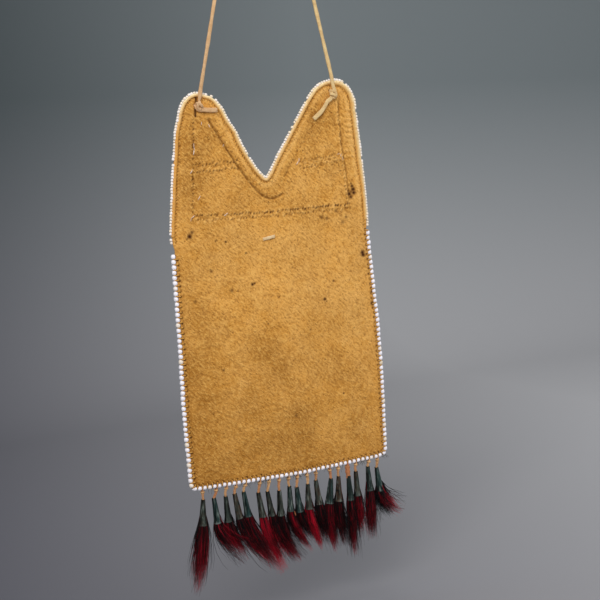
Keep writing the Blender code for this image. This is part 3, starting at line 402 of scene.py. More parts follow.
class PouchTinklers(bpy.types.PropertyGroup):
    hairs: IntProperty(name="Hairs", description="Hairs in one tuft", default=640, min=10)
    hair: length("Hair", "Radius of a hair at its root", 0.125)
    red: colour("Red hair", "Colour of the red-dyed hair", "c8142e")
    deep: colour("Deep red hair", "Colour of the darker red hair", "3c0409")
    black: colour("Dark hair", "Colour of the undyed dark hair", "060405")
    tin: colour("Tin", "Colour of the weathered tin", "40463f")
    teal: colour("Blue-green tin", "Colour of the tin where it has gone blue-green", "22403f")
    rust: colour("Rust", "Colour of the rust on the tin", "6e4a34")
    thong: colour("Tinkler thong", "Colour of the thongs that hold the cones", "deb884")
    thong_red: colour("Red tinkler thong", "Colour of the redder thongs", "c07a50")


class PouchQuills(bpy.types.PropertyGroup):
    step: length("Quill step", "Distance between folds of a quill", 1.35)
    natural: colour("Natural quill", "Colour of the undyed quills", "e8dcb8")
    dyed: colour("Dyed quill", "Colour of the dyed quills", "b0502c")


def at(x, y, z):
    """A point of the pouch, in millimetres above its bottom seam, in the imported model's place."""
    return Vector(((x - HANG_X) * MM, y * MM, (z - HANG_Z) * MM))


def smooth(points, step, closed=False):
    """A smooth curve through points, read at even steps."""
    pts = [Vector(p) for p in points]
    count = len(pts)
    out = []
    for i in range(count if closed else count - 1):
        p0 = pts[i - 1] if closed or i > 0 else pts[0]
        p1 = pts[i]
        p2 = pts[(i + 1) % count]
        p3 = pts[(i + 2) % count] if closed else pts[min(i + 2, count - 1)]
        span = (p2 - p1).length
        t01 = math.sqrt(max((p1 - p0).length, 1e-9))
        t12 = math.sqrt(max(span, 1e-9))
        t23 = math.sqrt(max((p3 - p2).length, 1e-9))
        m1 = p2 - p1
        m2 = p2 - p1
        if p0 != p1:
            m1 = ((p1 - p0) / t01 - (p2 - p0) / (t01 + t12) + (p2 - p1) / t12) * t12
        if p3 != p2:
            m2 = ((p2 - p1) / t12 - (p3 - p1) / (t12 + t23) + (p3 - p2) / t23) * t12
        parts = max(1, round(span / step))
        for k in range(parts):
            t = k / parts
            out.append(p1 * (2 * t**3 - 3 * t**2 + 1) + m1 * (t**3 - 2 * t**2 + t)
                       + p2 * (3 * t**2 - 2 * t**3) + m2 * (t**3 - t**2))
    if not closed:
        out.append(pts[-1])
    return out


def even(points, count):
    """Points at even lengths along a broken line, with the direction at each."""
    pts = np.array([tuple(p) for p in points], float)
    run = np.concatenate([[0.0], np.cumsum(np.linalg.norm(np.diff(pts, axis=0), axis=1))])
    where = (np.arange(count) + 0.5) / count * run[-1]
    gap = run[-1] / count * 0.4

    def read(s):
        return np.stack([np.interp(s, run, side) for side in pts.T], 1)

    way = read(where + gap) - read(where - gap)
    way /= np.linalg.norm(way, axis=1)[:, None]
    return read(where), way


def run_length(points):
    pts = np.array([tuple(p) for p in points], float)
    return float(np.linalg.norm(np.diff(pts, axis=0), axis=1).sum())


def offset(line, out):
    """A line moved sideways to its left, which is away from the hide for a clockwise edge."""
    pts = np.array([tuple(p)[:2] for p in line], float)
    way = np.gradient(pts, axis=0)
    way /= np.linalg.norm(way, axis=1)[:, None]
    return pts + np.stack([-way[:, 1], way[:, 0]], 1) * np.reshape(out, (-1, 1))


def to_lines(points, lines):
    """Distance in the hide's plane from each point to the nearest of some broken lines."""
    best = np.full(len(points), 1e9)
    for line in lines:
        line = np.array([tuple(p)[:2] for p in line], float)
        for a, b in zip(line, line[1:]):
            ab = b - a
            t = np.clip(((points - a) @ ab) / max(ab @ ab, 1e-9), 0, 1)
            best = np.minimum(best, np.linalg.norm(points - (a + t[:, None] * ab), axis=1))
    return best


def seam_bottom():
    """The hide's bottom edge from right to left: a set way above each tinkler's pivot."""
    line = [(j["pos_m"][0] / MM + HANG_X, j["pos_m"][2] / MM + HANG_Z + SEAM_OFF) for j in frame["joints"]]
    return CORNER_RIGHT + sorted(line, reverse=True) + CORNER_LEFT


def pocket_edge():
    return RIGHT_SIDE + seam_bottom() + LEFT_SIDE


def grain(points, size, seed):
    """Smooth noise from -1 to 1 at each point of the hide's plane, for a pattern of a size in millimetres."""
    return np.array([noise.noise(Vector((p[0] / size, p[1] / size, seed))) for p in points])


def grains(points, layers):
    return sum(share * grain(points, size, seed) for share, size, seed in layers)


def bell(distance, width):
    """1 on a line, falling off smoothly to both sides of it."""
    return np.exp(-((distance / width) ** 2))


def swell(x, z, flat_from):
    """How far a hide bulges, from 0 to 1: most in the middle, and flat again above flat_from."""
    across = np.clip(1.0 - (x / SWELL_HALF) ** 2, 0.0, None)
    up = np.clip((z - SWELL_FROM) / SWELL_RISE, 0.0, 1.0)
    rise = across * np.sin(up * math.pi / 2)
    if flat_from:
        down = np.clip((flat_from - z) / SWELL_RISE, 0.0, 1.0)
        rise = rise * (3 - 2 * down) * down**2
    return rise


def mesh_object(name, verts, faces, mat=None):
    mesh = bpy.data.meshes.new(name)
    mesh.from_pydata([tuple(v) for v in verts], [], faces)
    mesh.update()
    obj = bpy.data.objects.new(name, mesh)
    bpy.context.scene.collection.objects.link(obj)
    if mat:
        mesh.materials.append(mat)
    mesh.shade_smooth()
    return obj


def turn_out(obj, merge=True):
    """Merge doubles and point every face outwards."""
    bm = bmesh.new()
    bm.from_mesh(obj.data)
    if merge:
        bmesh.ops.remove_doubles(bm, verts=bm.verts, dist=0.000001)
    bmesh.ops.recalc_face_normals(bm, faces=bm.faces)
    bm.to_mesh(obj.data)
    bm.free()
    return obj


def take(obj, name, mat):
    """The object's evaluated shape as a plain mesh object; the first object goes."""
    bpy.context.view_layer.update()
    graph = bpy.context.evaluated_depsgraph_get()
    mesh = bpy.data.meshes.new_from_object(
        obj.evaluated_get(graph), preserve_all_data_layers=True, depsgraph=graph)
    bpy.data.objects.remove(obj, do_unlink=True)
    mesh.name = name
    if not any(m == mat for m in mesh.materials):
        mesh.materials.clear()
        mesh.materials.append(mat)
    made = bpy.data.objects.new(name, mesh)
    bpy.context.scene.collection.objects.link(made)
    return made


def put(mesh, name, values, kind="FLOAT"):
    """Store a value, or a vector, for every point of a mesh."""
    layer = mesh.attributes.new(name, kind, "POINT")
    key = "value" if kind == "FLOAT" else "vector"
    layer.data.foreach_set(key, np.asarray(values, dtype=np.float32).ravel())


def each(value, count):
    """A list of sizes as it is, or one size as such a list."""
    return [value] * count if isinstance(value, float) else value


def sweep(name, path, widths, thicks, mat, twist=None, closed=False, face=Vector((0, -1, 0)), sides=10,
          square=0.55, settle=0.0):
    """A thong or thread along a path: a rounded section whose wide way starts square to a facing direction.

    A lower square makes the section squarer, and 1 round. settle is the share by which it turns back to the
    facing direction at every step."""
    pts = [Vector(p) for p in path]
    count = len(pts)
    widths, thicks = each(widths, count), each(thicks, count)
    verts = []
    faces = []
    normal = None
    for i, p in enumerate(pts):
        if closed:
            way = (pts[(i + 1) % count] - pts[i - 1]).normalized()
        else:
            way = (pts[min(i + 1, count - 1)] - pts[max(i - 1, 0)]).normalized()
        if normal is None:
            normal = (face - way * face.dot(way)).normalized()
        else:
            flat = face - way * face.dot(way)
            if settle and flat.length > 0.5:
                normal = normal.lerp(flat.normalized() * (1 if normal.dot(flat) > 0 else -1), settle)
            normal = (normal - way * normal.dot(way)).normalized()
        turn = twist[i] if twist else 0.0
        n = Matrix.Rotation(turn, 3, way) @ normal
        b = way.cross(n)
        w = widths[i] / 2
        t = thicks[i] / 2
        for k in range(sides):
            a = 2 * math.pi * k / sides
            c, s = math.cos(a), math.sin(a)
            c = math.copysign(abs(c) ** square, c)
            s = math.copysign(abs(s) ** square, s)
            verts.append(p + b * (c * w) + n * (s * t))
    rings = count if closed else count - 1
    for i in range(rings):
        for k in range(sides):
            a = i * sides + k
            b = i * sides + (k + 1) % sides
            c = ((i + 1) % count) * sides + (k + 1) % sides
            d = ((i + 1) % count) * sides + k
            faces.append((a, b, c, d))
    if not closed:
        faces.append(tuple(reversed(range(sides))))
        faces.append(tuple(range((count - 1) * sides, count * sides)))
    return turn_out(mesh_object(name, verts, faces, mat))


# Nodes and materials


def wire(tree, kind, inputs=None, **settings):
    """Add a node, set its options and feed its inputs by name or number."""
    made = tree.nodes.new(kind)
    for key, value in settings.items():
        setattr(made, key, value)
    for key, value in (inputs or {}).items():
        socket = made.inputs[key]
        if hasattr(value, "is_output"):
            tree.links.new(value, socket)
        else:
            socket.default_value = value
    return made


class Finish:
    """A node material built up in short steps."""

    def __init__(self, name, roughness):
        self.mat = bpy.data.materials.new(name)
        self.mat.use_nodes = True
        self.tree = self.mat.node_tree
        self.shader = self.tree.nodes["Principled BSDF"]
        self.shader.inputs["Roughness"].default_value = roughness
        self.place = self.node("ShaderNodeTexCoord").outputs["Object"]

    def node(self, kind, inputs=None, **settings):
        return wire(self.tree, kind, inputs, **settings)

    def noise(self, scale, detail=3.0, rough=0.55, longer=None, turn=(0.0, 0.0, 0.0)):
        """Noise from 0 to 1; longer stretches it along each axis, after turn has turned those axes."""
        place = self.place
        if longer:
            place = self.node("ShaderNodeMapping", {"Scale": longer, "Rotation": turn, "Vector": place},
                              vector_type="TEXTURE").outputs["Vector"]
        inputs = {"Scale": scale, "Detail": detail, "Roughness": rough, "Vector": place}
        return self.node("ShaderNodeTexNoise", inputs).outputs["Fac"]

    def attribute(self, name):
        return self.node("ShaderNodeAttribute", attribute_name=name).outputs["Fac"]

    def ramp(self, value, low, high):
        inputs = {"From Min": low, "From Max": high, "Value": value}
        return self.node("ShaderNodeMapRange", inputs).outputs["Result"]

    def math(self, operation, a, b=0.0, c=0.0, clamp=False):
        return self.node("ShaderNodeMath", {0: a, 1: b, 2: c}, operation=operation, use_clamp=clamp).outputs[0]

    def axis(self, name):
        """One of the three Object coordinates, in metres."""
        return self.node("ShaderNodeSeparateXYZ", {0: self.place}).outputs[name]

    def mix(self, share, a, b, blend="MIX"):
        a, b = (v if hasattr(v, "is_output") else (*tuple(v)[:3], 1.0) for v in (a, b))
        made = self.node("ShaderNodeMix", {0: share, 6: a, 7: b}, data_type="RGBA", blend_type=blend)
        return made.outputs[2]

    def bump(self, height, strength, distance, under=None):
        inputs = {"Strength": strength, "Distance": distance, "Height": height}
        if under:
            inputs["Normal"] = under
        return self.node("ShaderNodeBump", inputs).outputs["Normal"]

    def done(self, base, normal=None, roughness=None, **inputs):
        for key, socket in (("Base Color", base), ("Normal", normal), ("Roughness", roughness)):
            if socket is not None:
                self.tree.links.new(socket, self.shader.inputs[key])
        for key, value in inputs.items():
            self.shader.inputs[key.replace("_", " ")].default_value = value
        return self.mat


def suede(name, hide):
    """Smoked hide: cloudy tone, a slanting nap of dark flecks and painted highlight that is stronger on the
    yoke, and pits darkened with painted shade.
    """
    f = Finish(name, 0.92)
    cloud = f.ramp(f.noise(38.0, 4.0, 0.6), 0.1, 0.68)
    patch = f.ramp(f.noise(120.0, 3.0, 0.6), 0.25, 0.75)
    slant = (0.0, math.radians(-40), 0.0)
    nap = f.noise(760.0, 2.0, 0.6, longer=(1.0, 1.0, 2.0), turn=slant)
    speck = f.noise(1300.0, 2.0, 0.7, longer=(1.0, 1.0, 1.5), turn=slant)
    blot = f.noise(300.0, 3.0, 0.6)
    rough = f.math("MULTIPLY_ADD", speck, 0.7, nap)
    rough = f.math("MULTIPLY_ADD", blot, 0.1, rough)
    rough = f.math("SUBTRACT", rough, 0.5 + 0.35 + 0.05)
    up = f.ramp(f.axis("Z"), (20 - HANG_Z) * MM, (225 - HANG_Z) * MM)
    strength = f.math("MULTIPLY_ADD", up, 0.7, 2.1)
    rough = f.math("MULTIPLY", rough, strength)
    base = f.mix(cloud, hide.dark, hide.mid)
    base = f.mix(f.math("MULTIPLY", patch, 0.45), base, hide.light)
    tone = f.attribute("tone")
    base = f.mix(f.math("MULTIPLY", f.ramp(tone, 0.0, 1.0), 0.8), base, hide.light)
    base = f.mix(f.math("MULTIPLY", f.ramp(tone, 0.0, -1.0), 0.95), base, hide.dark)
    base = f.mix(f.math("MULTIPLY", rough, -0.85, clamp=True), base, hide.smoke)
    # Painted highlight: the nap's light flecks, where it would catch the light
    base = f.mix(f.math("MULTIPLY", rough, 0.9, clamp=True), base, hide.nap_highlight)
    # Painted shade in pits, nicks, holes, the slit, the groove and beside the raised fold
    base = f.mix(f.attribute("pit"), base, hide.pitted)
    lift = f.bump(speck, 0.4, 0.0007)
    lift = f.bump(nap, 0.8, 0.0012, lift)
    return f.done(base, lift, Sheen_Weight=0.05, Sheen_Roughness=0.5, Specular_IOR_Level=0.1)


def thong_leather(name, pale, shade, other=None, share=None):
    """A narrow strip of hide, pale with darker blots; share says where it has another colour."""
    f = Finish(name, 0.85)
    blot = f.ramp(f.noise(230.0, 3.0, 0.6), 0.3, 0.7)
    fine = f.noise(1400.0, 2.0, 0.6)
    if other is not None:
        pale = f.mix(share(f), pale, other)
    base = f.mix(f.math("MULTIPLY", blot, 0.55), pale, shade)
    base = f.mix(f.math("MULTIPLY", f.ramp(fine, 0.45, 0.75), 0.4), base, shade)
    return f.done(base, f.bump(fine, 0.5, 0.0005), Specular_IOR_Level=0.2)


def bead_glass(white):
    """Opaque glass: white, with a small clean highlight, each bead a little off white in its own way."""
    f = Finish("white_glass", 0.25)
    tint = f.attribute("tint")
    base = f.mix(f.math("MULTIPLY", f.ramp(tint, 0.5, 1.0), 0.75), white, rgb("ead2a2"))
    base = f.mix(f.math("MULTIPLY", f.ramp(f.noise(700.0, 2.0), 0.55, 0.9), 0.2), base, rgb("d6cad2"))
    return f.done(base, Specular_IOR_Level=0.5)


def thread_yarn(tone):
    """Twisted sewing thread, with painted shade between its strands."""
    f = Finish("sewing_thread", 0.85)
    twist = f.noise(2600.0, 1.0, 0.5)
    base = f.mix(f.math("MULTIPLY", f.ramp(twist, 0.35, 0.7), 0.5), tone, rgb("9c6c2c"))
    return f.done(base, f.bump(twist, 0.4, 0.0002))


def weathered_tin(tinklers):
    """Old rolled tin: dark and dull, streaked along the cone, blue-green or rusty in places, with painted shade
    on its flanks and inside, and light streaks that are partly painted highlight.
    """
    f = Finish("weathered_tin", 0.5)
    streak = f.noise(800.0, 3.0, 0.6, longer=(1.0, 1.0, 7.0))
    spot = f.noise(420.0, 3.0, 0.65)
    base = f.mix(f.attribute("teal"), tinklers.tin, tinklers.teal)
    # Near-black where the shade attribute is low: streaky patina, and painted shade on the flanks and inside
    base = f.mix(f.ramp(f.attribute("shade"), 0.25, 1.0), rgb("070b0b"), base)
    base = f.mix(f.math("MULTIPLY", f.ramp(streak, 0.45, 0.3), 0.7), base, rgb("0e1413"))
    # Light streaks along the cone: partly patina, partly painted highlight
    base = f.mix(f.math("MULTIPLY", f.ramp(streak, 0.52, 0.7), 0.6), base, rgb("8e9890"))
    rusty = f.math("MULTIPLY", f.ramp(spot, 0.4, 0.6), f.attribute("rust"))
    base = f.mix(rusty, base, tinklers.rust)
    base = f.mix(f.attribute("rim"), base, rgb("9aa09c"))
    return f.done(base, f.bump(spot, 0.25, 0.0004), f.math("MULTIPLY_ADD", rusty, 0.3, 0.42), Metallic=0.45,
                  Specular_IOR_Level=0.12)


def dyed_hair(tinklers):
    """Coarse hair: crimson, deep red and near-black strands, darker at the root."""
    f = Finish("dyed_hair", 0.5)
    dye = f.attribute("dye")
    base = f.mix(f.ramp(dye, 0.3, 0.45), tinklers.black, tinklers.deep)
    base = f.mix(f.ramp(dye, 0.5, 0.8), base, tinklers.red)
    base = f.mix(f.math("MULTIPLY", f.ramp(f.attribute("along_hair"), 0.45, 0.1), 0.7), base, tinklers.black)
    return f.done(base, Specular_IOR_Level=0.18)


def flat_quill(quills):
    """Flattened quills: smooth and horn-like, each fold in its own colour."""
    f = Finish("folded_quills", 0.38)
    base = f.mix(f.ramp(f.attribute("tint"), 0.45, 0.55), quills.natural, quills.dyed)
    base = f.mix(f.math("MULTIPLY", f.noise(700.0, 2.0), 0.35), base, rgb("c9b27e"), "MULTIPLY")
    return f.done(base, f.bump(f.noise(1500.0, 1.0), 0.2, 0.0003), Specular_IOR_Level=0.45)


def binding_hide(hide):
    """The pale binding strip: cream on its outer side, hide-coloured inside and where it is worn."""
    f = Finish("binding_strip", 0.85)
    weave = f.noise(1300.0, 2.0, 0.6)
    base = f.mix(f.ramp(f.attribute("outer"), 0.15, 0.85), hide.binding_low, hide.binding)
    base = f.mix(f.attribute("pale"), hide.mid, base)
    base = f.mix(f.math("MULTIPLY", f.ramp(f.noise(420.0, 3.0), 0.45, 0.75), 0.5), base, hide.mid)
    base = f.mix(f.math("MULTIPLY", f.ramp(weave, 0.5, 0.8), 0.45), base, hide.dark)
    return f.done(base, f.bump(weave, 0.6, 0.0005), Specular_IOR_Level=0.2)


def two_tone(name, roughness, scale, first, second):
    """A plain fibre that changes between two colours along its length."""
    f = Finish(name, roughness)
    base = f.mix(f.ramp(f.noise(scale, 2.0), 0.4, 0.6), rgb(first), rgb(second))
    return f.done(base, Specular_IOR_Level=0.2)


# Repeats and tufts


def new_tree(name, sockets):
    """A node tree with a geometry input, further named inputs and a geometry output."""
    tree = bpy.data.node_groups.new(name, "GeometryNodeTree")
    tree.interface.new_socket("Geometry", in_out="INPUT", socket_type="NodeSocketGeometry")
    for label, kind, value in sockets:
        made = tree.interface.new_socket(label, in_out="INPUT", socket_type="NodeSocket" + kind)
        if value is not None:
            made.default_value = value
    tree.interface.new_socket("Geometry", in_out="OUTPUT", socket_type="NodeSocketGeometry")
    return tree, tree.nodes.new("NodeGroupInput"), tree.nodes.new("NodeGroupOutput")


def with_tree(obj, tree, values):
    """Put a tree on an object and set its inputs by the sockets' identifiers."""
    modifier = obj.modifiers.new(tree.name, "NODES")
    modifier.node_group = tree
    names = {s.name: s.identifier for s in tree.interface.items_tree
             if s.item_type == "SOCKET" and s.in_out == "INPUT"}
    for key, value in values.items():
        modifier[names[key]] = value
    obj.update_tag()
    return obj


def repeat_tree():
    """Places an item on every point, turned to the point's own directions, with small differences."""
    tree, given, out = new_tree("repeat_item", [
        ("Item", "Object", None), ("Finish", "Material", None), ("Turn", "Float", 0.0),
        ("Vary", "Float", 0.05), ("Seed", "Int", 3),
    ])
    along, outward, size = (
        wire(tree, "GeometryNodeInputNamedAttribute", {"Name": name}, data_type=kind)
        for name, kind in (("along", "FLOAT_VECTOR"), ("outward", "FLOAT_VECTOR"), ("size", "FLOAT")))
    first = wire(tree, "FunctionNodeAlignRotationToVector", {"Vector": along.outputs[0]}, axis="Z")
    second = wire(tree, "FunctionNodeAlignRotationToVector",
                  {"Rotation": first.outputs[0], "Vector": outward.outputs[0]}, axis="X", pivot_axis="Z")
    low = wire(tree, "ShaderNodeMath", {0: given.outputs["Turn"], 1: -1.0}, operation="MULTIPLY")
    jitter = wire(tree, "FunctionNodeRandomValue", {"Seed": given.outputs["Seed"]}, data_type="FLOAT_VECTOR")
    tree.links.new(low.outputs[0], jitter.inputs["Min"])
    tree.links.new(given.outputs["Turn"], jitter.inputs["Max"])
    turned = wire(tree, "FunctionNodeRotateRotation",
                  {"Rotation": second.outputs[0], "Rotate By": jitter.outputs[0]}, rotation_space="LOCAL")
    least = wire(tree, "ShaderNodeMath", {0: 1.0, 1: given.outputs["Vary"]}, operation="SUBTRACT")
    most = wire(tree, "ShaderNodeMath", {0: 1.0, 1: given.outputs["Vary"]}, operation="ADD")
    scale = wire(tree, "FunctionNodeRandomValue", {"Seed": given.outputs["Seed"]}, data_type="FLOAT")
    floats = [s for s in scale.inputs if s.type == "VALUE"]
    tree.links.new(least.outputs[0], floats[0])
    tree.links.new(most.outputs[0], floats[1])
    value = [s for s in scale.outputs if s.type == "VALUE"][0]
    sized = wire(tree, "ShaderNodeMath", {0: value, 1: size.outputs[0]}, operation="MULTIPLY")
    item = wire(tree, "GeometryNodeObjectInfo", {"Object": given.outputs["Item"]})
    placed = wire(tree, "GeometryNodeInstanceOnPoints", {
        "Points": given.outputs["Geometry"], "Instance": item.outputs["Geometry"],
        "Rotation": turned.outputs[0], "Scale": sized.outputs[0],
    })
    real = wire(tree, "GeometryNodeRealizeInstances", {"Geometry": placed.outputs[0]})
    finish = wire(tree, "GeometryNodeSetMaterial",
                  {"Geometry": real.outputs[0], "Material": given.outputs["Finish"]})
    tree.links.new(finish.outputs[0], out.inputs[0])
    return tree


def hair_tree():
    """Grows a tuft from one guide line: its copies flare, wave and end at their own lengths."""
    tree, given, out = new_tree("hair_tuft", [
        ("Finish", "Material", None), ("Hairs", "Int", 400), ("Root", "Float", 0.002),
        ("Flare", "Float", 0.004), ("Thickness", "Float", 0.0001), ("Wave", "Float", 0.0012),
        ("Across", "Vector", None), ("Red", "Float", 0.5), ("Red Side", "Float", 0.0), ("Seed", "Int", 1),
    ])
    given = given.outputs
    copies = wire(tree, "GeometryNodeDuplicateElements",
                  {"Geometry": given["Geometry"], "Amount": given["Hairs"]}, domain="SPLINE")
    held = wire(tree, "GeometryNodeCaptureAttribute", {"Geometry": copies.outputs["Geometry"]}, domain="CURVE")
    held.capture_items.new("INT", "Strand")
    tree.links.new(copies.outputs["Duplicate Index"], held.inputs["Strand"])
    strand = held.outputs["Strand"]

    def calc(operation, a, b=0.0):
        return wire(tree, "ShaderNodeMath", {0: a, 1: b}, operation=operation).outputs[0]

    def add(a, b):
        return calc("ADD", a, b)

    def less(a, b):
        return calc("SUBTRACT", a, b)

    def times(a, b):
        return calc("MULTIPLY", a, b)

    def power_of(a, b):
        return calc("POWER", a, b)

    def vector(x=0.0, y=0.0, z=0.0):
        return wire(tree, "ShaderNodeCombineXYZ", {"X": x, "Y": y, "Z": z}).outputs[0]

    def scaled(way, by):
        return wire(tree, "ShaderNodeVectorMath", {0: way, "Scale": by}, operation="SCALE").outputs[0]

    def plus(a, b):
        return wire(tree, "ShaderNodeVectorMath", {0: a, 1: b}, operation="ADD").outputs[0]

    def chance(step, low=0.0, high=1.0, of=strand):
        """A random number of each strand, or of each lock."""
        seed = add(given["Seed"], float(step))
        node = wire(tree, "FunctionNodeRandomValue", {"ID": of, "Seed": seed}, data_type="FLOAT")
        floats = [s for s in node.inputs if s.type == "VALUE"]
        floats[0].default_value = low
        floats[1].default_value = high
        return [s for s in node.outputs if s.type == "VALUE"][0]

    def disc(turn_share, reach_share):
        turn = times(turn_share, 2 * math.pi)
        reach = calc("SQRT", reach_share)
        return times(calc("COSINE", turn), reach), times(calc("SINE", turn), reach)

    # The strands of a lock draw together towards the lock's own place on the way down
    lock = calc("MODULO", strand, LOCKS)
    way = wire(tree, "GeometryNodeSplineParameter").outputs["Factor"]
    own_side, own_deep = disc(chance(1), chance(2))
    lock_side, lock_deep = disc(chance(11, of=lock), chance(12, of=lock))
    drawn = times(power_of(way, 1.4), chance(6, 0.55, 1.0))
    side = add(own_side, times(drawn, less(lock_side, own_side)))
    deep = add(own_deep, times(drawn, less(lock_deep, own_deep)))

    # The tuft widens from the cone's mouth, and a few stray strands stand out further
    widen = calc("SINE", times(calc("MINIMUM", times(way, 1.25), 1.0), math.pi / 2))
    spread = add(given["Root"], times(less(given["Flare"], given["Root"]), widen))
    stray = power_of(chance(3), 5.0)
    narrow = less(1.0, times(power_of(way, 3.0), 0.2))
    spread = times(spread, add(narrow, times(times(stray, way), 2.3)))
    move = plus(scaled(given["Across"], times(side, spread)),
                scaled(vector(y=1.0), times(deep, times(spread, 0.7))))

    # Each strand waves in its own way
    place = vector(times(strand, 0.37), times(way, 1.5), given["Seed"])
    curl = wire(tree, "ShaderNodeTexNoise", {"Vector": place, "Scale": 1.0, "Detail": 1.0})
    curl = plus(curl.outputs["Color"], vector(-0.5, -0.5, -0.5))
    wave = times(given["Wave"], times(power_of(way, 1.2), add(2.0, times(stray, 4.0))))
    moved = wire(tree, "GeometryNodeSetPosition",
                 {"Geometry": held.outputs["Geometry"], "Offset": plus(move, scaled(curl, wave))})

    # Its length, its dye and its thickness
    end = add(times(chance(4), 0.3), add(0.34, times(chance(13, of=lock), 0.36)))
    cut = wire(tree, "GeometryNodeTrimCurve", {"Curve": moved.outputs[0]}, mode="FACTOR")
    floats = [s for s in cut.inputs if s.type == "VALUE" and s.enabled]
    tree.links.new(end, floats[1])
    mixed = add(add(times(chance(14, of=lock), 0.65), times(chance(5), 0.35)), times(stray, 0.5))
    to_side = times(times(lock_side, given["Red Side"]), 0.5)
    dye = add(less(given["Red"], mixed), add(0.56, to_side))
    strands = cut
    for name, value in (("dye", dye), ("along_hair", way)):
        strands = wire(tree, "GeometryNodeStoreNamedAttribute",
                       {"Geometry": strands.outputs[0], "Name": name, "Value": value},
                       data_type="FLOAT", domain="POINT")
    taper = wire(tree, "GeometryNodeSplineParameter").outputs["Factor"]
    thin = times(given["Thickness"], less(1.0, times(power_of(taper, 1.3), 0.82)))
    thin = times(thin, add(0.9, times(stray, 0.9)))
    ring = wire(tree, "GeometryNodeCurvePrimitiveCircle", {"Resolution": 3, "Radius": 1.0})
    sized = wire(tree, "GeometryNodeSetCurveRadius", {"Curve": strands.outputs[0], "Radius": thin})
    tube = wire(tree, "GeometryNodeCurveToMesh", {
        "Curve": sized.outputs[0], "Profile Curve": ring.outputs[0], "Fill Caps": True,
    })
    if "Scale" in tube.inputs:
        tree.links.new(thin, tube.inputs["Scale"])
        sized.inputs["Radius"].default_value = 1.0
        for connection in list(sized.inputs["Radius"].links):
            tree.links.remove(connection)
    finish = wire(tree, "GeometryNodeSetMaterial", {"Geometry": tube.outputs[0], "Material": given["Finish"]})
    tree.links.new(finish.outputs[0], out.inputs[0])
    return tree


def repeat(name, spots, item, mat, turn=0.0, vary=0.05, seed=3):
    """Grow a row of items: spots are (place, along, outward, size, tint)."""
    mesh = bpy.data.meshes.new(name + "_spots")
    mesh.from_pydata([tuple(s[0]) for s in spots], [], [])
    put(mesh, "along", [tuple(s[1]) for s in spots], "FLOAT_VECTOR")
    put(mesh, "outward", [tuple(s[2]) for s in spots], "FLOAT_VECTOR")
    put(mesh, "size", [s[3] for s in spots])
    put(mesh, "tint", [s[4] for s in spots])
    obj = bpy.data.objects.new(name + "_spots", mesh)
    bpy.context.scene.collection.objects.link(obj)
    tree = bpy.data.node_groups.get("repeat_item") or repeat_tree()
    with_tree(obj, tree, {"Item": item, "Finish": mat, "Turn": turn, "Vary": vary, "Seed": seed})
    made = take(obj, name, mat)
    bpy.data.objects.remove(item, do_unlink=True)
    return made


def lathe(name, profile, sides):
    """A turned item on its own Z axis, from (radius, height) in millimetres; radius 0 closes an end."""
    verts = []
    faces = []
    rings = []
    for r, h in profile:
        if r == 0:
            rings.append([len(verts)])
            verts.append((0.0, 0.0, h * MM))
        else:
            rings.append(list(range(len(verts), len(verts) + sides)))
            turns = [2 * math.pi * k / sides for k in range(sides)]
            verts += [(r * MM * math.cos(a), r * MM * math.sin(a), h * MM) for a in turns]
    for a, b in zip(rings, rings[1:]):
        for k in range(sides):
            j = (k + 1) % sides
            if len(a) == 1:
                faces.append((a[0], b[k], b[j]))
            elif len(b) == 1:
                faces.append((a[k], b[0], a[j]))
            else:
                faces.append((a[k], b[k], b[j], a[j]))
    return turn_out(mesh_object(name, verts, faces))


def bead(name, diameter, height):
    """A drawn glass bead: round outside, with dimpled ends where its hole is."""
    r = diameter / 2
    h = height / 2
    half = [(r * 0.92, h * 0.56), (r * 0.62, h), (r * 0.34, h * 0.8), (0.0, h * 0.62)]
    return lathe(name, [(x, -z) for x, z in reversed(half)] + [(r, 0.0)] + half, 10)


def finish_piece(obj, body, replaces=()):
    """Say where a piece belongs."""
    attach(obj, body)
    if replaces:
        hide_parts(*replaces)
    return obj


# The hides


def hide_outline(pocket_only):
    """A hide's edge as a closed line in millimetres, up to the front hide's lip or with the yoke."""
    top = LIP if pocket_only else YOKE_EDGE
    return smooth(LEFT_SIDE + top + RIGHT_SIDE + seam_bottom(), EDGE_STEP, closed=True)


def pit_rows(step):
    """The needle's pits on the yoke's back, as (x, z, radius, depth share, darkness), the darkness being
    painted shade in the pit.
    """
    rng = random.Random(11)
    pits = []

    for ends, shift, wobble, radius, dark, gap in PIT_ROWS:
        a, b = (Vector(p) for p in ends)
        way = (b - a).normalized()
        side = Vector((-way.y, way.x))
        run = (b - a).length
        count = max(2, int(run / (step * gap)))
        for k in range(count):
            if rng.random() < 0.07:
                continue
            p = a + way * ((k + 0.5 + rng.uniform(-0.18, 0.18)) * run / count)
            p = p + side * (shift + rng.uniform(-wobble, wobble))
            deep, shade = rng.uniform(0.6, 1.0), dark * rng.uniform(0.45, 1.0)
            for part in (-0.2, 0.25):
                pits.append((p.x + part, p.y + part * 1.2, radius * rng.uniform(0.8, 1.2), deep, shade))
    for low, high, count in PIT_FIELDS:
        for _ in range(count):
            x, z = (rng.uniform(a, b) for a, b in zip(low, high))
            pits.append((x, z, rng.uniform(0.35, 0.6), 0.5, rng.uniform(0.3, 0.75)))
    return pits


def lump_rows():
    """Small raised places between the needle's pits, as (x, z, radius, height share, paleness), the paleness
    being a painted highlight on each.
    """
    rng = random.Random(12)
    lumps = []
    for key, count in LUMPS.items():
        a, b = (Vector(p) for p in QUILL_BANDS[key])
        for k in range(count):
            p = a + (b - a) * ((k + rng.random()) / count)
            lumps.append((p.x + rng.uniform(-0.8, 0.8), p.y + rng.uniform(-2.4, 2.4), rng.uniform(0.7, 1.3),
                          rng.uniform(0.4, 1.0), rng.uniform(0.4, 1.0)))
    return lumps


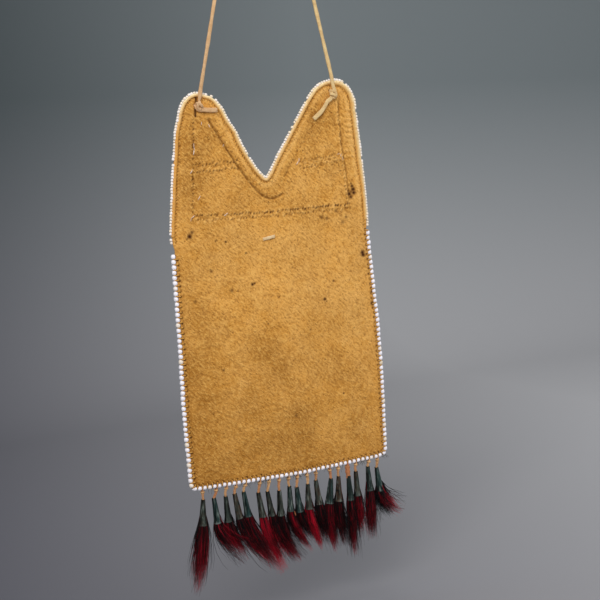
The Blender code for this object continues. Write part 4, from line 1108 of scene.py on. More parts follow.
def binding_inset(edge):
    """How far in from the yoke's edge the binding strip reaches: further on the right horn and side."""
    x = np.array([p[0] for p in edge])
    z = np.array([p[1] for p in edge])
    return BINDING_IN + 0.8 * np.clip((x - 46.0) / 8.0, 0, 1) * np.clip((z - 192.0) / 16.0, 0, 1)


def stitch_pits(edge, pitch, radius, dark, seed):
    """The binding's stitches: a row of short slanting holes along its inner side."""
    rng = random.Random(seed)
    line = offset(edge, -binding_inset(edge) - 0.5)
    here, way = even(line, max(2, round(run_length(line) / pitch)))
    pits = []
    for (x, z), (dx, dz) in zip(here, way):
        x += rng.uniform(-0.2, 0.2)
        z += rng.uniform(-0.2, 0.2)
        for step in (-0.35, 0.35):
            pits.append((x + step * (dx + dz), z + step * (dz - dx), radius * rng.uniform(0.8, 1.15), 1.0,
                         dark * rng.uniform(0.65, 1.0)))
    return pits


def seam_stations():
    """The bead line round the pocket and the lengths of its beads and of the gaps between them along it.

    The beads are spaced evenly between the tinklers' pivots, so that each pivot falls in a gap."""
    seam = offset(smooth([(70.1, 160.6)] + pocket_edge(), 0.8), SEAM_OFF)
    run = np.concatenate([[0.0], np.cumsum(np.linalg.norm(np.diff(seam, axis=0), axis=1))])
    stops = [0.0, run[-1]]
    for joint in frame["joints"]:
        x, _, z = joint["pos_m"]
        stops.append(run[np.argmin(np.hypot(seam[:, 0] - x / MM - HANG_X, seam[:, 1] - z / MM - HANG_Z))])
    stops.sort()
    beads = []
    gaps = []
    for a, b in zip(stops, stops[1:]):
        parts = max(1, round((b - a) / SEAM_PITCH))
        beads += [a + (b - a) * (k + 0.5) / parts for k in range(parts)]
        gaps += [a + (b - a) * k / parts for k in range(parts)]
    return seam, run, beads, gaps


def on_seam(seam, run, s):
    """The place at a length along the bead line, with its direction and the way out of the hide."""
    x, z = (float(np.interp(s, run, seam[:, k])) for k in (0, 1))
    d = [float(np.interp(s + 0.8, run, seam[:, k]) - np.interp(s - 0.8, run, seam[:, k])) for k in (0, 1)]
    d = Vector((d[0], 0.0, d[1])).normalized()
    return x, z, d, Vector((-d.z, 0.0, d.x))


def stitch_holes():
    """Where the whip stitches go into the hide, one to a gap between beads."""
    seam, run, _, gaps = seam_stations()
    rng = random.Random(31)
    holes = []
    for s in gaps:
        x, z, d, n = on_seam(seam, run, s)
        reach = SEAM_OFF + STITCH_IN + rng.uniform(-0.3, 0.3)
        side = STITCH_SLANT + rng.uniform(-0.25, 0.25)
        holes.append((x - n.x * reach + d.x * side, z - n.z * reach + d.z * side))
    return holes


def flat_mesh(outline, grid, fine_near, holes):
    """The hide's plane inside an outline: a grid, finer near some lines, with round holes.

    Gives the places, the faces and the edges of the rim, each edge in its face's own direction."""
    bm = bmesh.new()
    verts = [bm.verts.new((p[0], 0.0, p[1])) for p in outline]
    edges = [bm.edges.new((verts[i - 1], verts[i])) for i in range(len(verts))]
    bmesh.ops.contextual_create(bm, geom=edges)
    xs = [p[0] for p in outline]
    zs = [p[1] for p in outline]
    for low, high, normal in ((min(xs), max(xs), (1, 0, 0)), (min(zs), max(zs), (0, 0, 1))):
        count = round((high - low) / grid)
        for k in range(1, count):
            where = low + (high - low) * k / count
            bmesh.ops.bisect_plane(bm, geom=bm.verts[:] + bm.edges[:] + bm.faces[:], dist=0.02,
                                   plane_co=tuple(where * n for n in normal), plane_no=normal)
    bmesh.ops.remove_doubles(bm, verts=bm.verts, dist=0.25)
    points = np.array([(f.calc_center_median().x, f.calc_center_median().z) for f in bm.faces])
    near = to_lines(points, fine_near[0]) < fine_near[1] if fine_near else np.zeros(len(points), bool)
    bm.faces.ensure_lookup_table()
    chosen = [bm.faces[i] for i in np.nonzero(near)[0]]
    ring = list({e for f in chosen for e in f.edges if not e.is_boundary})
    bmesh.ops.subdivide_edges(bm, edges=ring, cuts=2, use_grid_fill=True)
    for x, z, r in holes:
        gone = [v for v in bm.verts if math.hypot(v.co.x - x, v.co.z - z) < r]
        around = {v for f in {f for v in gone for f in v.link_faces} for v in f.verts} - set(gone)
        bmesh.ops.delete(bm, geom=gone, context="VERTS")
        for v in around:
            if v.is_valid and v.is_boundary:
                way = Vector((v.co.x - x, 0, v.co.z - z)).normalized()
                v.co.x = x + way.x * r
                v.co.z = z + way.z * r
    bmesh.ops.triangulate(bm, faces=bm.faces)
    bm.verts.ensure_lookup_table()
    bm.verts.index_update()
    plane = np.array([(v.co.x, v.co.z) for v in bm.verts])
    faces = [tuple(v.index for v in f.verts) for f in bm.faces]
    loops = [e.link_loops[0] for e in bm.edges if e.is_boundary]
    rim = [(loop.vert.index, loop.link_loop_next.vert.index) for loop in loops]
    bm.free()
    return plane, faces, rim


def two_sided(name, plane, faces, rim, back_y, front_y, mat, marks):
    """Close the plane into a hide with its own back and front, and a rounded cut edge.

    marks holds the attributes, each as its values on the back and on the front."""
    count = len(plane)
    first = [plane[i] for i in faces[0]]
    area = ((first[1][0] - first[0][0]) * (first[2][1] - first[0][1])
            - (first[1][1] - first[0][1]) * (first[2][0] - first[0][0]))
    rounding = EDGE_ROUND if area > 0 else -EDGE_ROUND
    back = [tuple(at(x, y, z)) for (x, z), y in zip(plane, back_y)]
    front = [tuple(at(x, y, z)) for (x, z), y in zip(plane, front_y)]
    mids = {}
    out_of = {}
    for i, j in rim:
        d = plane[j] - plane[i]
        n = np.array([d[1], -d[0]]) / max(np.hypot(*d), 1e-9)
        for k in (i, j):
            out_of[k] = out_of.get(k, np.zeros(2)) + n
    middle = []
    for k, n in out_of.items():
        n = n / max(np.hypot(*n), 1e-9) * rounding
        mids[k] = 2 * count + len(middle)
        x, z = plane[k] + n
        middle.append(tuple(at(x, (back_y[k] + front_y[k]) / 2, z)))
    made = []
    for f in faces:
        made.append(f)
        made.append(tuple(count + i for i in reversed(f)))
    for i, j in rim:
        made.append((j, i, mids[i], mids[j]))
        made.append((mids[j], mids[i], count + i, count + j))
    obj = turn_out(mesh_object(name, back + front + middle, made, mat), merge=False)
    for key, (on_back, on_front) in marks.items():
        put(obj.data, key, np.concatenate([on_back, on_front, np.zeros(len(middle))]))
    return obj


def pressed(plane, pits):
    """How deep each point is from a list of pits, and how dark with the painted shade in them."""
    deep = np.zeros(len(plane))
    dark = np.zeros(len(plane))
    for x, z, r, depth, shade in pits:
        near = np.nonzero((abs(plane[:, 0] - x) < 3 * r) & (abs(plane[:, 1] - z) < 3 * r))[0]
        d = np.hypot(plane[near, 0] - x, plane[near, 1] - z) / r
        fall = np.exp(-(d**2) * 1.3)
        deep[near] = np.maximum(deep[near], depth * fall)
        dark[near] = np.maximum(dark[near], shade * np.clip(fall * 1.25 - 0.1, 0, 1))
    return deep, dark


class POUCH_OT_back(bpy.types.Operator):
    """Build the back hide: the pitted yoke, the pocket's back and the stitch holes along its edges"""

    bl_idname = "pouch.back"
    bl_label = "Back hide"

    def execute(self, context):
        hide = context.scene.pouch_hide
        outline = hide_outline(False)
        bands = list(QUILL_BANDS.values())
        seam = smooth(pocket_edge(), EDGE_STEP)
        yoke_edge = smooth(YOKE_EDGE, EDGE_STEP)
        groove_line, ridge_line = smooth(GROOVE, 3.0), smooth(RIDGE, 3.0)
        pits = pit_rows(hide.pit / MM)
        left, right, low, high, wave = WRINKLES

        # The mesh is finer near every mark
        spots = [(m, 0.6) for m in MARKS] + [(p, 0.4) for p in pits]
        lines = bands + [[(p[0] - half, p[1]), (p[0] + half, p[1])] for p, half in spots]
        for share in (0.2, 0.5, 0.8):
            across = left + share * (right - left)
            lines.append([(across, low), (across, high)])
        lines += [offset(seam, -0.9), offset(yoke_edge, -2.2), groove_line, ridge_line, SLIT]
        grid = hide.grid / MM
        holes = [(*hole, STRAP_HOLE_R) for hole in STRAP_HOLES]
        plane, faces, rim = flat_mesh(outline, grid, (lines, 2.2), holes)
        x, z = plane.T
        inside = to_lines(plane, [outline + outline[:1]])
        groove, ridge, beside, edge_groove, band_near = (to_lines(plane, near) for near in (
            [groove_line], [ridge_line], [[(p[0] + 1.4, p[1]) for p in ridge_line]],
            [offset(yoke_edge, -binding_inset(yoke_edge) - 0.4)], bands))

        # Pits, nicks and stitch holes: how deep, and how dark with painted shade
        pits += [(*hole, 0.95, 1.0, 1.0) for hole in stitch_holes()]
        pits += stitch_pits(yoke_edge, 2.1, 0.5, 0.8, 6)
        # The slit beside the knot, cut deep and darkened with painted shade
        pits += [(*place, 0.85, 1.2, 1.0) for place in even(SLIT, 34)[0]]
        deep, dark = pressed(plane, pits)
        for px, pz, r, depth, shade in MARKS:
            d, k = pressed(plane, [(px, pz, r, 1.0, shade)])
            deep = np.maximum(deep, d * depth / PIT_DEPTH)
            dark = np.maximum(dark, k)
        # Painted shade along the groove and beside the raised fold, in the pits' colour
        for line, width, shade in ((groove, 0.55, 0.5), (beside, 0.5, 0.45)):
            dark = np.maximum(dark, shade * bell(line, width) * (0.8 + 0.4 * grain(plane, 5.0, 16.0)))

        # Relief, in mm: the hide's sag, grooves and folds, wrinkles and lumps
        sag = grains(plane, BACK_SAG) * np.clip((inside - 1.0) / 10.0, 0, 1)
        cut = 0.5 * bell(groove, 0.6) - 0.28 * bell(groove - 1.8, 1.2)
        cut -= 0.35 * bell(ridge, 0.9) - 0.12 * bell(ridge - 2.0, 1.0)
        cut += 0.2 * bell(edge_groove, 0.6)
        inner = np.clip((x - left) / 2, 0, 1) * np.clip((right - x) / 2, 0, 1)
        inner = inner * np.clip((z - low) / 8, 0, 1) * np.clip((high - z) / 8, 0, 1)
        wrinkle = inner * np.sin(2 * math.pi * z / wave + 1.6 * grain(plane, 9.0, 14.0) + 0.25 * x)
        cut += 0.14 * wrinkle
        lumps = 0.16 * bell(band_near, 2.2) * (0.6 + grain(plane, 2.2, 7.0))
        raised, pale = pressed(plane, lump_rows())
        middle = BACK_Y - BACK_BULGE * swell(x, z, BACK_FLAT_FROM)
        front_y = middle + HIDE_T / 2 - sag * 0.5
        back_y = middle - HIDE_T / 2 - sag + lumps + cut + deep * hide.pit_depth / MM - 0.4 * raised
        back_y = np.minimum(back_y, front_y - 0.25)

        # Tone, from -1 dark to 1 light: the hide's own tone, with painted light and shade on its grooves, fold,
        # wrinkles, lumps and edge
        tone = grains(plane, BACK_TONE)
        for sx, sz, w, h, t in SHADES:
            tone += t * 2.0 * np.exp(-(((x - sx) / w) ** 2) - (((z - sz) / h) ** 2))
        # Painted highlight on the raised lumps; random lighter grain on the right side
        tone += 1.4 * pale + 0.4 * grain(plane, 3.6, 31.0) * bell(x - 58, 14) * (z > 60)
        # Painted shade in the groove; darker beside the quill lines
        tone -= 0.9 * bell(groove, 0.65) + 0.3 * bell(band_near, 2.6) * (z < 236)
        # Painted shade beside the raised fold, and painted light and shade in step with the wrinkles
        tone -= 0.5 * bell(beside, 0.9) + 0.4 * wrinkle
        # Painted shade in the groove along the binding
        tone -= 0.2 * bell(edge_groove, 0.7)
        beyond = np.where((x > -34) & (z > 180), 1.0, 0.2)
        tone += 0.8 * beyond * bell(edge_groove - 2.4, 1.3) * (edge_groove > 0.5)
        # Painted highlight along the raised fold
        tone += 0.8 * bell(ridge, 0.8)
        # Painted shade along the pocket's edge under the beads, stronger on the left
        tone -= np.where(x < 0, 0.3, 0.08) * bell(inside - 1.6, 1.6) * (z < MOUTH_Z)

        plain = np.zeros(len(x))
        marks = {"pit": (dark, plain), "tone": (np.clip(tone, -1, 1), plain)}
        obj = two_sided("back_hide", plane, faces, rim, back_y, front_y, suede("back_suede", hide), marks)
        finish_piece(obj, "pouch", ("back_panel",))
        return {"FINISHED"}


class POUCH_OT_front(bpy.types.Operator):
    """Build the front hide that makes the pocket"""

    bl_idname = "pouch.front"
    bl_label = "Front hide"

    def execute(self, context):
        hide = context.scene.pouch_hide
        outline = hide_outline(True)
        plane, faces, rim = flat_mesh(outline, 2.0, None, [])
        x, z = plane.T
        middle = FRONT_Y + FRONT_BULGE * swell(x, z, 0.0)
        inside = to_lines(plane, [outline + outline[:1]])
        sag = grains(plane, FRONT_SAG) * np.clip((inside - 1.0) / 12.0, 0, 1)
        tone = grains(plane, FRONT_TONE)
        # The stitch holes in the front are darkened with painted shade
        deep, dark = pressed(plane, [(*hole, 0.75, 1.0, 0.9) for hole in stitch_holes()])
        front_y = middle + HIDE_T / 2 + sag - deep * 0.4
        back_y = np.minimum(middle - HIDE_T / 2 + sag * 0.8, front_y - 0.3)
        marks = {"pit": (np.zeros(len(x)), dark), "tone": (tone * 0.5, tone)}
        obj = two_sided("front_hide", plane, faces, rim, back_y, front_y, suede("front_suede", hide), marks)
        finish_piece(obj, "pouch", ("front_panel",))
        return {"FINISHED"}


class POUCH_OT_binding(bpy.types.Operator):
    """Fold the pale binding strip over the yoke's edge; its stitch holes are in the back hide"""

    bl_idname = "pouch.binding"
    bl_label = "Binding"

    def execute(self, context):
        hide = context.scene.pouch_hide
        edge = smooth(YOKE_EDGE[1:-1], 1.0)
        rng = random.Random(4)
        inset = binding_inset(edge)
        lines = {d: offset(edge, d * inset / BINDING_IN if d < 0 else d) for d, _ in BINDING}
        count = len(edge)
        ends = np.array(YOKE_EDGE)
        near = [int(np.argmin(np.hypot(ends[:, 0] - p.x, ends[:, 1] - p.y))) for p in edge]
        shares = np.interp(near, *zip(*PALE_EDGE))
        shares = np.convolve(np.pad(shares, 6, mode="edge"), np.ones(13) / 13, mode="valid")
        verts = []
        pale = []
        outer = []
        for i in range(count):
            pucker = 0.1 * math.sin(i * 2.7) + rng.uniform(-0.07, 0.07)
            narrow = min(1.0, (i + 1) / 8, (count - i) / 8)
            for d, y in BINDING:
                x, z = lines[d][i]
                grow = 1.0 + (pucker if abs(y) > 0.6 else 0.0)
                verts.append(at(x, BACK_Y + y * grow * (0.75 + 0.25 * narrow), z))
                pale.append(shares[i] + rng.uniform(-0.12, 0.12))
                outer.append((d + BINDING_IN) / 2.2)
        n = len(BINDING)
        faces = [(i * n + k, i * n + (k + 1) % n, (i + 1) * n + (k + 1) % n, (i + 1) * n + k)
                 for i in range(count - 1) for k in range(n)]
        faces += [tuple(range(n)), tuple(reversed(range((count - 1) * n, count * n)))]
        obj = mesh_object("binding_strip", verts, faces, binding_hide(hide))
        put(obj.data, "pale", np.clip(pale, 0, 1))
        put(obj.data, "outer", np.clip(outer, 0, 1))
        turn_out(obj)
        finish_piece(obj, "pouch")
        return {"FINISHED"}


class POUCH_OT_beads(bpy.types.Operator):
    """Sew the edge beads: small ones round the yoke, larger ones round the pocket, with their thread"""

    bl_idname = "pouch.beads"
    bl_label = "Edge beads"

    def execute(self, context):
        beads = context.scene.pouch_beads
        glass = bead_glass(beads.white)
        yarn = thread_yarn(beads.thread)
        rng = random.Random(21)
        size = beads.yoke / MM
        edge = offset(smooth(YOKE_EDGE, 0.8), size / 2 + 0.1)
        here, way = even(edge, round(run_length(edge) / (beads.yoke_pitch / MM)))
        spots = []
        for k, ((x, z), (dx, dz)) in enumerate(zip(here, way)):
            if rng.random() < 0.04:
                continue
            wobble = rng.uniform(-0.1, 0.1) + 0.3 * noise.noise(Vector((k * 0.16, 3.0, 0.0)))
            cream = 0.62 + 0.3 * rng.random() if x < -60 else 0.7 + 0.3 * rng.random()
            place = at(x - dz * wobble, BACK_Y + rng.uniform(-0.2, 0.15), z + dx * wobble)
            spots.append((place, (dx, 0, dz), (-dz, 0, dx), rng.uniform(0.84, 1.08), cream))
        made = repeat("yoke_beads", spots, bead("bead_small", size, size * 0.96), glass, 0.16, 0.07, 5)
        finish_piece(made, "pouch", ("upper_bead_edging",))

        size = beads.seam / MM
        seam, run, where, gaps = seam_stations()
        pivots = [(j["pos_m"][0] / MM + HANG_X, j["pos_m"][2] / MM + HANG_Z) for j in frame["joints"]]
        spots = []
        for s in where:
            x, z, d, n = on_seam(seam, run, s)
            w = rng.uniform(-0.15, 0.12)
            worn = 1.0 if x > 70 and abs(z - CREAM_BEAD_Z) < 2.2 else rng.random() ** 3 * 0.9
            beside = min(math.hypot(x - p[0], z - p[1]) for p in pivots) < 0.6 * SEAM_PITCH
            grown = rng.uniform(0.98, 1.05) * (0.96 if beside else 1.0)
            spots.append((at(x + n.x * w, -0.1 + rng.uniform(-0.15, 0.15), z + n.z * w), d, n, grown, worn))
        made = repeat("seam_beads", spots, bead("bead_large", size, size * 0.97), glass, 0.16, 0.03, 9)
        finish_piece(made, "pouch", ("lower_bead_edging",))

        path = [at(x, -0.1, z) for x, z in seam[::3]]
        cord = sweep("edging_thread", path, 0.8 * MM, 0.8 * MM, yarn, sides=6, square=1.0)
        finish_piece(cord, "pouch")
        loops = []
        item = thread_loop("thread_loop", SEAM_OFF + STITCH_IN, 0.95, 1.62)
        for s in gaps:
            x, z, d, n = on_seam(seam, run, s)
            lean = -STITCH_SLANT / (SEAM_OFF + STITCH_IN) + rng.uniform(-0.1, 0.1)
            loops.append((at(x, -0.15, z), d, (n + d * lean).normalized(), rng.uniform(0.95, 1.04), 0.0))
        made = repeat("whip_stitches", loops, item, yarn, 0.1, 0.05, 13)
        finish_piece(made, "pouch")
        return {"FINISHED"}


def thread_loop(name, reach, thick, half):
    """One whip stitch: a thread out of the back hide, round the edging and into the front hide."""
    path = smooth([(x, y, 0.0) for x, y in (
        (-reach, -0.4), (-reach + 0.3, -half + 0.1), (-reach * 0.6, -half - 0.05), (-0.7, -half + 0.25),
        (0.05, -0.8), (0.45, 0.0), (0.05, 0.8), (-0.7, half - 0.2), (-reach * 0.6, half),
        (-reach + 0.3, half - 0.05), (-reach, 0.4),
    )], 0.8)
    return sweep(name, [p * MM for p in path], thick * MM, thick * MM, None, sides=4, square=1.0,
                 face=Vector((0, 0, 1)))


class POUCH_OT_strap(bpy.types.Operator):
    """Run the flat strap thong through both horns and knot it"""

    bl_idname = "pouch.strap"
    bl_label = "Strap"

    def execute(self, context):
        strap = context.scene.pouch_strap
        mat = thong_leather("strap_leather", strap.pale, strap.shade, strap.cream,
                            lambda f: f.ramp(f.axis("X"), 0.0, 0.03))
        route = [at(*p) for p in smooth(STRAP_ROUTE, 1.2)]
        rng = random.Random(8)
        widths = []
        thicks = []
        twist = []
        turn = 0.0
        free_z = (STRAP_FREE_Z - HANG_Z) * MM
        for i, p in enumerate(route):
            turn = 0.35 * math.sin(i * 0.045) + 0.1 * rng.random() if p.z > free_z else turn * 0.6
            twist.append(turn)
            wave = 0.08 * math.sin(i * 0.25) + 0.05 * math.sin(i * 0.71)
            part = 0.96 if p.z > free_z and p.x < 0 else 1.04
            if p.z < (STRAP_TAIL_Z - HANG_Z) * MM:
                part = 1.12
            widths.append(strap.width * (part + wave))
            thicks.append(strap.thick * (1.0 + wave * 0.8))
        obj = sweep("strap_thong", route, widths, thicks, mat, twist=twist, sides=12, square=0.6, settle=0.35)
        finish_piece(obj, "pouch", ("strap",))
        for side, (points, wide, thick) in KNOTS.items():
            turns = [at(*p) for p in smooth(points, 0.5)]
            rim = [min(1.0, 0.8 + 0.1 * min(i, len(turns) - 1 - i)) for i in range(len(turns))]
            widths, thicks = ([size * MM * k for k in rim] for size in (wide, thick))
            knot = sweep("strap_knot_" + side, turns, widths, thicks, mat, sides=12, square=0.7, settle=0.2)
            finish_piece(knot, "pouch")
        return {"FINISHED"}


class POUCH_OT_closure(bpy.types.Operator):
    """Sew the flat closure thong through the back hide at the mouth"""

    bl_idname = "pouch.closure"
    bl_label = "Closure stitch"

    def execute(self, context):
        x, z, long, tilt = CLOSURE
        a = long / 2 - 0.4
        back = BACK_Y - HIDE_T / 2 - 0.55
        front = -HIDE_GAP / 2 + 0.55
        loop = smooth([
            (-a, (back + front) / 2), (-a + 0.5, back + 0.1), (-a * 0.4, back - 0.18), (a * 0.4, back - 0.2),
            (a - 0.5, back + 0.1), (a, (back + front) / 2), (a - 0.5, front - 0.05), (0.0, front + 0.1),
            (-a + 0.5, front - 0.05),
        ], 0.5, closed=True)
        spin = Matrix.Rotation(-math.radians(tilt), 3, "Y")
        path = [at(x, 0, z) + spin @ (Vector((p[0], p[1], 0.0)) * MM) for p in loop]
        widths = [2.2 * MM + 0.12 * MM * math.sin(i * 0.9) for i in range(len(path))]
        mat = thong_leather("closure_leather", rgb("ecd2a4"), rgb("b98a56"))
        obj = sweep("closure_stitch", path, 0.8 * MM, widths, mat, closed=True, square=0.6,
                    face=spin @ Vector((0, 0, 1)))
        finish_piece(obj, "pouch", ("closure_thong",))
        return {"FINISHED"}


class POUCH_OT_quills(bpy.types.Operator):
    """Lay the folded quills on the front of the yoke and the pocket"""

    bl_idname = "pouch.quills"
    bl_label = "Quillwork"

    def execute(self, context):
        quills = context.scene.pouch_quills
        mat = flat_quill(quills)
        step = quills.step / MM
        spots = []
        rows = [(a, b, 0.0, True, name == "base") for name, (a, b) in QUILL_BANDS.items()]
        for height in LANES:
            for shift in (-LANE_HALF_WIDE, LANE_HALF_WIDE):
                rows.append(((-LANE_HALF_LONG, height), (LANE_HALF_LONG, height), shift, False, shift > 0))
        rng = random.Random(17)
        for a, b, shift, on_yoke, bold in rows:
            a, b = Vector(a), Vector(b)
            run = (b - a).length
            way = (b - a).normalized()
            side = Vector((-way.y, way.x))
            count = round(run / step)
            for k in range(count):
                p = a + way * ((k + 0.5) * run / count) + side * shift
                y, tilt = -HIDE_GAP / 2, Vector((0, 1, 0))
                if not on_yoke:
                    bulge = FRONT_BULGE * float(swell(np.array([p.x]), np.array([p.y]), 0.0)[0])
                    y = FRONT_Y + HIDE_T / 2 + bulge
                    tilt = Vector((2 * FRONT_BULGE * p.x / SWELL_HALF**2, 1, 0)).normalized()
                block = float((k // QUILL_BLOCK) % 2) if bold else 0.0
                spots.append((at(p.x, y + 0.1, p.y), tilt, (way.x, 0, way.y), rng.uniform(0.97, 1.03), block))
        item = self.fold("quill_fold", QUILL_WIDE, step)
        made = repeat("quillwork", spots, item, mat, 0.05, 0.03, 4)
        finish_piece(made, "pouch")
        return {"FINISHED"}

    def fold(self, name, wide, step):
        """One fold of a flattened quill: a slanting, slightly domed bar with rounded ends."""
        w = wide / 2
        s = step / 2 * 0.98
        verts = []
        rows = [(-w, 0.0, 0.55), (-w * 0.82, 0.3, 0.9), (0.0, 0.42, 1.0), (w * 0.82, 0.3, 0.9), (w, 0.0, 0.55)]
        for across, high, wide_share in rows:
            lean = across * 0.16
            top = max(high - 0.12, -0.05)
            for along, up in ((-s, top), (0.0, high), (s, top), (s, -0.3), (-s, -0.3)):
                verts.append(((along * wide_share + lean) * MM, across * MM, up * MM))
        faces = []
        for r in range(len(rows) - 1):
            for k in range(5):
                a, b = r * 5 + k, r * 5 + (k + 1) % 5
                faces.append((a, b, b + 5, a + 5))
        faces += [tuple(range(5)), tuple(reversed(range(20, 25)))]
        return turn_out(mesh_object(name, verts, faces))


# The tinklers


def lean_axis(degrees):
    """The way down of something that leans to the right by an angle."""
    angle = math.radians(degrees)
    return Vector((math.sin(angle), 0.0, -math.cos(angle)))


def tinklers():
    """Each tinkler's number as text, its number, its row and its pivot."""
    for number, (row, joint) in enumerate(zip(TINKLERS, frame["joints"]), 1):
        yield "%02d" % number, number, row, Vector(joint["pos_m"])


class POUCH_OT_cones(bpy.types.Operator):
    """Roll the tin cones, each with its lapped seam"""

    bl_idname = "pouch.cones"
    bl_label = "Tin cones"

    def execute(self, context):
        mat = weathered_tin(context.scene.pouch_tinklers)
        for tag, number, row, pivot in tinklers():
            self.cone(tag, number, row, pivot, mat)
        return {"FINISHED"}

    def cone(self, tag, number, row, pivot, mat):
        rng = random.Random(100 + number)
        around = 30
        down = 14
        seam = rng.uniform(0, 2 * math.pi)
        lap = 0.35
        wall = 0.34
        oval = rng.uniform(-0.07, 0.07)
        skew = rng.uniform(-0.5, 0.5)
        spin = Matrix.Rotation(-math.radians(row.lean), 3, "Y")
        tip = pivot + Vector((row.aside * MM, 0, 0)) + Vector((0, 0, -row.drop * MM))
        outer = []
        inner = []
        rims = []
        rusts = []
        shades = []
        bright = 0.5 if number == BRIGHT_RIM else 0.08
        for j in range(down + 1):
            t = j / down
            flare = 0.22 * max(0.0, t - 0.86) / 0.14
            for i in range(around + 1):
                s = i / around
                a = seam + s * (2 * math.pi + lap)
                r = CONE_TIP_R + (row.mouth - CONE_TIP_R) * t**0.94 + flare
                dent = noise.noise(Vector((math.cos(a) * 2, math.sin(a) * 2, t * 3 + number)))
                r += 0.22 * (s - 0.5) + 0.05 * dent
                edge = skew * (s - 0.5) * t * 0.9
                h = -t * CONE_L - edge + (0.12 * math.sin(a * 2 + number) * t if j == down else 0)
                for store, thin in ((outer, 0.0), (inner, wall)):
                    rr = max(r - thin, 0.5)
                    p = Vector((rr * math.cos(a) * (1 + oval), rr * math.sin(a) * (1 - oval), h))
                    store.append(tip + (spin @ p) * MM)
                rims.append(bright if j == down else 0.0)
                rusts.append(min(1.0, row.rust * (0.35 + 0.65 * max(0.0, math.cos(a - 0.3)))))
                # Streaky patina, darker near the top, and painted shade on the cone's left and right flanks
                old = noise.noise(Vector((math.cos(a) * 3, math.sin(a) * 3, t * 1.2 + 5.0 * number)))
                shades.append(0.85 + 0.9 * old - 0.6 * abs(math.cos(a)) ** 2 - 0.3 * max(0.0, 0.15 - t) / 0.15)
        n = around + 1
        base = len(outer)
        faces = []
        for j in range(down):
            for i in range(around):
                a, b, c, d = j * n + i, j * n + i + 1, (j + 1) * n + i + 1, (j + 1) * n + i
                faces.append((a, d, c, b))
                faces.append((base + a, base + b, base + c, base + d))
            for i in (0, around):
                a, d = j * n + i, (j + 1) * n + i
                faces.append((a, base + a, base + d, d) if i == 0 else (a, d, base + d, base + a))
        for i in range(around):
            a, b = i, i + 1
            faces.append((a, b, base + b, base + a))
            a, b = down * n + i, down * n + i + 1
            faces.append((a, base + a, base + b, b))
        obj = turn_out(mesh_object("tin_" + tag, outer + inner, faces, mat), merge=False)
        put(obj.data, "rim", rims + rims)
        put(obj.data, "rust", rusts + rusts)
        # The inside of the cone is painted shade
        put(obj.data, "shade", np.clip(shades + [0.2] * base, 0, 1))
        put(obj.data, "teal", [row.teal] * (2 * base))
        obj.data.set_sharp_from_angle(angle=math.radians(50))
        finish_piece(obj, "tinkler_" + tag, ("tin_cone_" + tag,))


class POUCH_OT_thongs(bpy.types.Operator):
    """Loop each tinkler's thong over the edging thread and down into its cone"""

    bl_idname = "pouch.thongs"
    bl_label = "Tinkler thongs"

    def execute(self, context):
        colours = context.scene.pouch_tinklers
        mat = thong_leather("tinkler_leather", colours.thong, rgb("8a4a2a"), colours.thong_red,
                            lambda f: f.attribute("warm"))
        for tag, number, row, pivot in tinklers():
            rng = random.Random(300 + number)
            way = lean_axis(row.lean)
            tip = Vector((row.aside, 0, -row.drop))
            deep = tip + way * (THONG_IN_CONE - 1.0)
            inside = tip + way * 3
            neck = tip + way * 0.6
            bow = rng.uniform(-0.4, 0.4)
            aside = row.aside * 0.3
            broad, thick = (2.2, 1.9) if number == BROAD_THONG else (1.0, 1.0)
            path = smooth([
                deep + Vector((0, 0.3, 0)), inside + Vector((0, 0.35, 0)), neck + Vector((0, 0.42, 0)),
                Vector((bow + aside * 2, 0.75, -row.drop * 0.64)), Vector((aside * 0.6, 1.05, -2.2)),
                Vector((0, 0.95, -0.5)), Vector((0, 0.62, 0.62)), Vector((0, 0.0, 0.92)),
                Vector((0, -0.62, 0.62)), Vector((0, -0.95, -0.5)), Vector((aside * 0.6, -1.15, -2.2)),
                Vector((bow * 1.4 + aside * 2, -0.9, -row.drop * 0.62)), neck + Vector((0, -0.42, 0)),
                inside + Vector((0, -0.35, 0)), deep + Vector((0, -0.3, 0)),
            ], 0.5)
            widths = []
            for p in path:
                below = max(0.0, -p.z)
                wide = 0.7 + 0.65 * min(1.0, max(0.0, below - 1.0) / 2.6)
                widths.append(wide * broad * MM * (1 + 0.14 * math.sin(below * 1.7 + number)))
            thicks = [0.62 * MM * thick * min(1.0, 0.7 + max(0.0, -p.z) / 6) for p in path]
            self.strip("thong_strip_" + tag, [pivot + p * MM for p in path], widths, thicks, row.warm, mat)
            turns = []
            for k in range(26):
                t = k / 25
                a = 2 * math.pi * 1.3 * t + 0.6 * number
                around = Vector((aside + 1.15 * math.cos(a), 1.5 * math.sin(a), -2.8 + 0.5 * (t - 0.5)))
                turns.append(pivot + around * MM)
            self.strip("thong_turn_" + tag, turns, 0.55 * MM, 1.1 * MM, 0.0, mat, Vector((0, 0, 1)))
            if number == LONG_THONG:
                mouth = tip + way * CONE_L
                end = [mouth - way * 5 + Vector((0.3, -0.8, 0)), mouth + Vector((1.2, -1.0, 1.0)),
                       mouth + Vector((2.2, -1.2, -1.5)), mouth + Vector((2.6, -1.3, -3.6))]
                end = [pivot + p * MM for p in smooth(end, 0.7)]
                self.strip("thong_end_" + tag, end, 1.5 * MM, 0.7 * MM, 1.0, mat)
        return {"FINISHED"}

    def strip(self, name, path, widths, thicks, warm, mat, face=Vector((0, -1, 0))):
        obj = sweep(name, path, widths, thicks, mat, sides=8, square=0.7, face=face)
        put(obj.data, "warm", [warm] * len(obj.data.vertices))
        tag = name[-2:]
        finish_piece(obj, "tinkler_" + tag, ("thong_" + tag,) if "strip" in name else ())


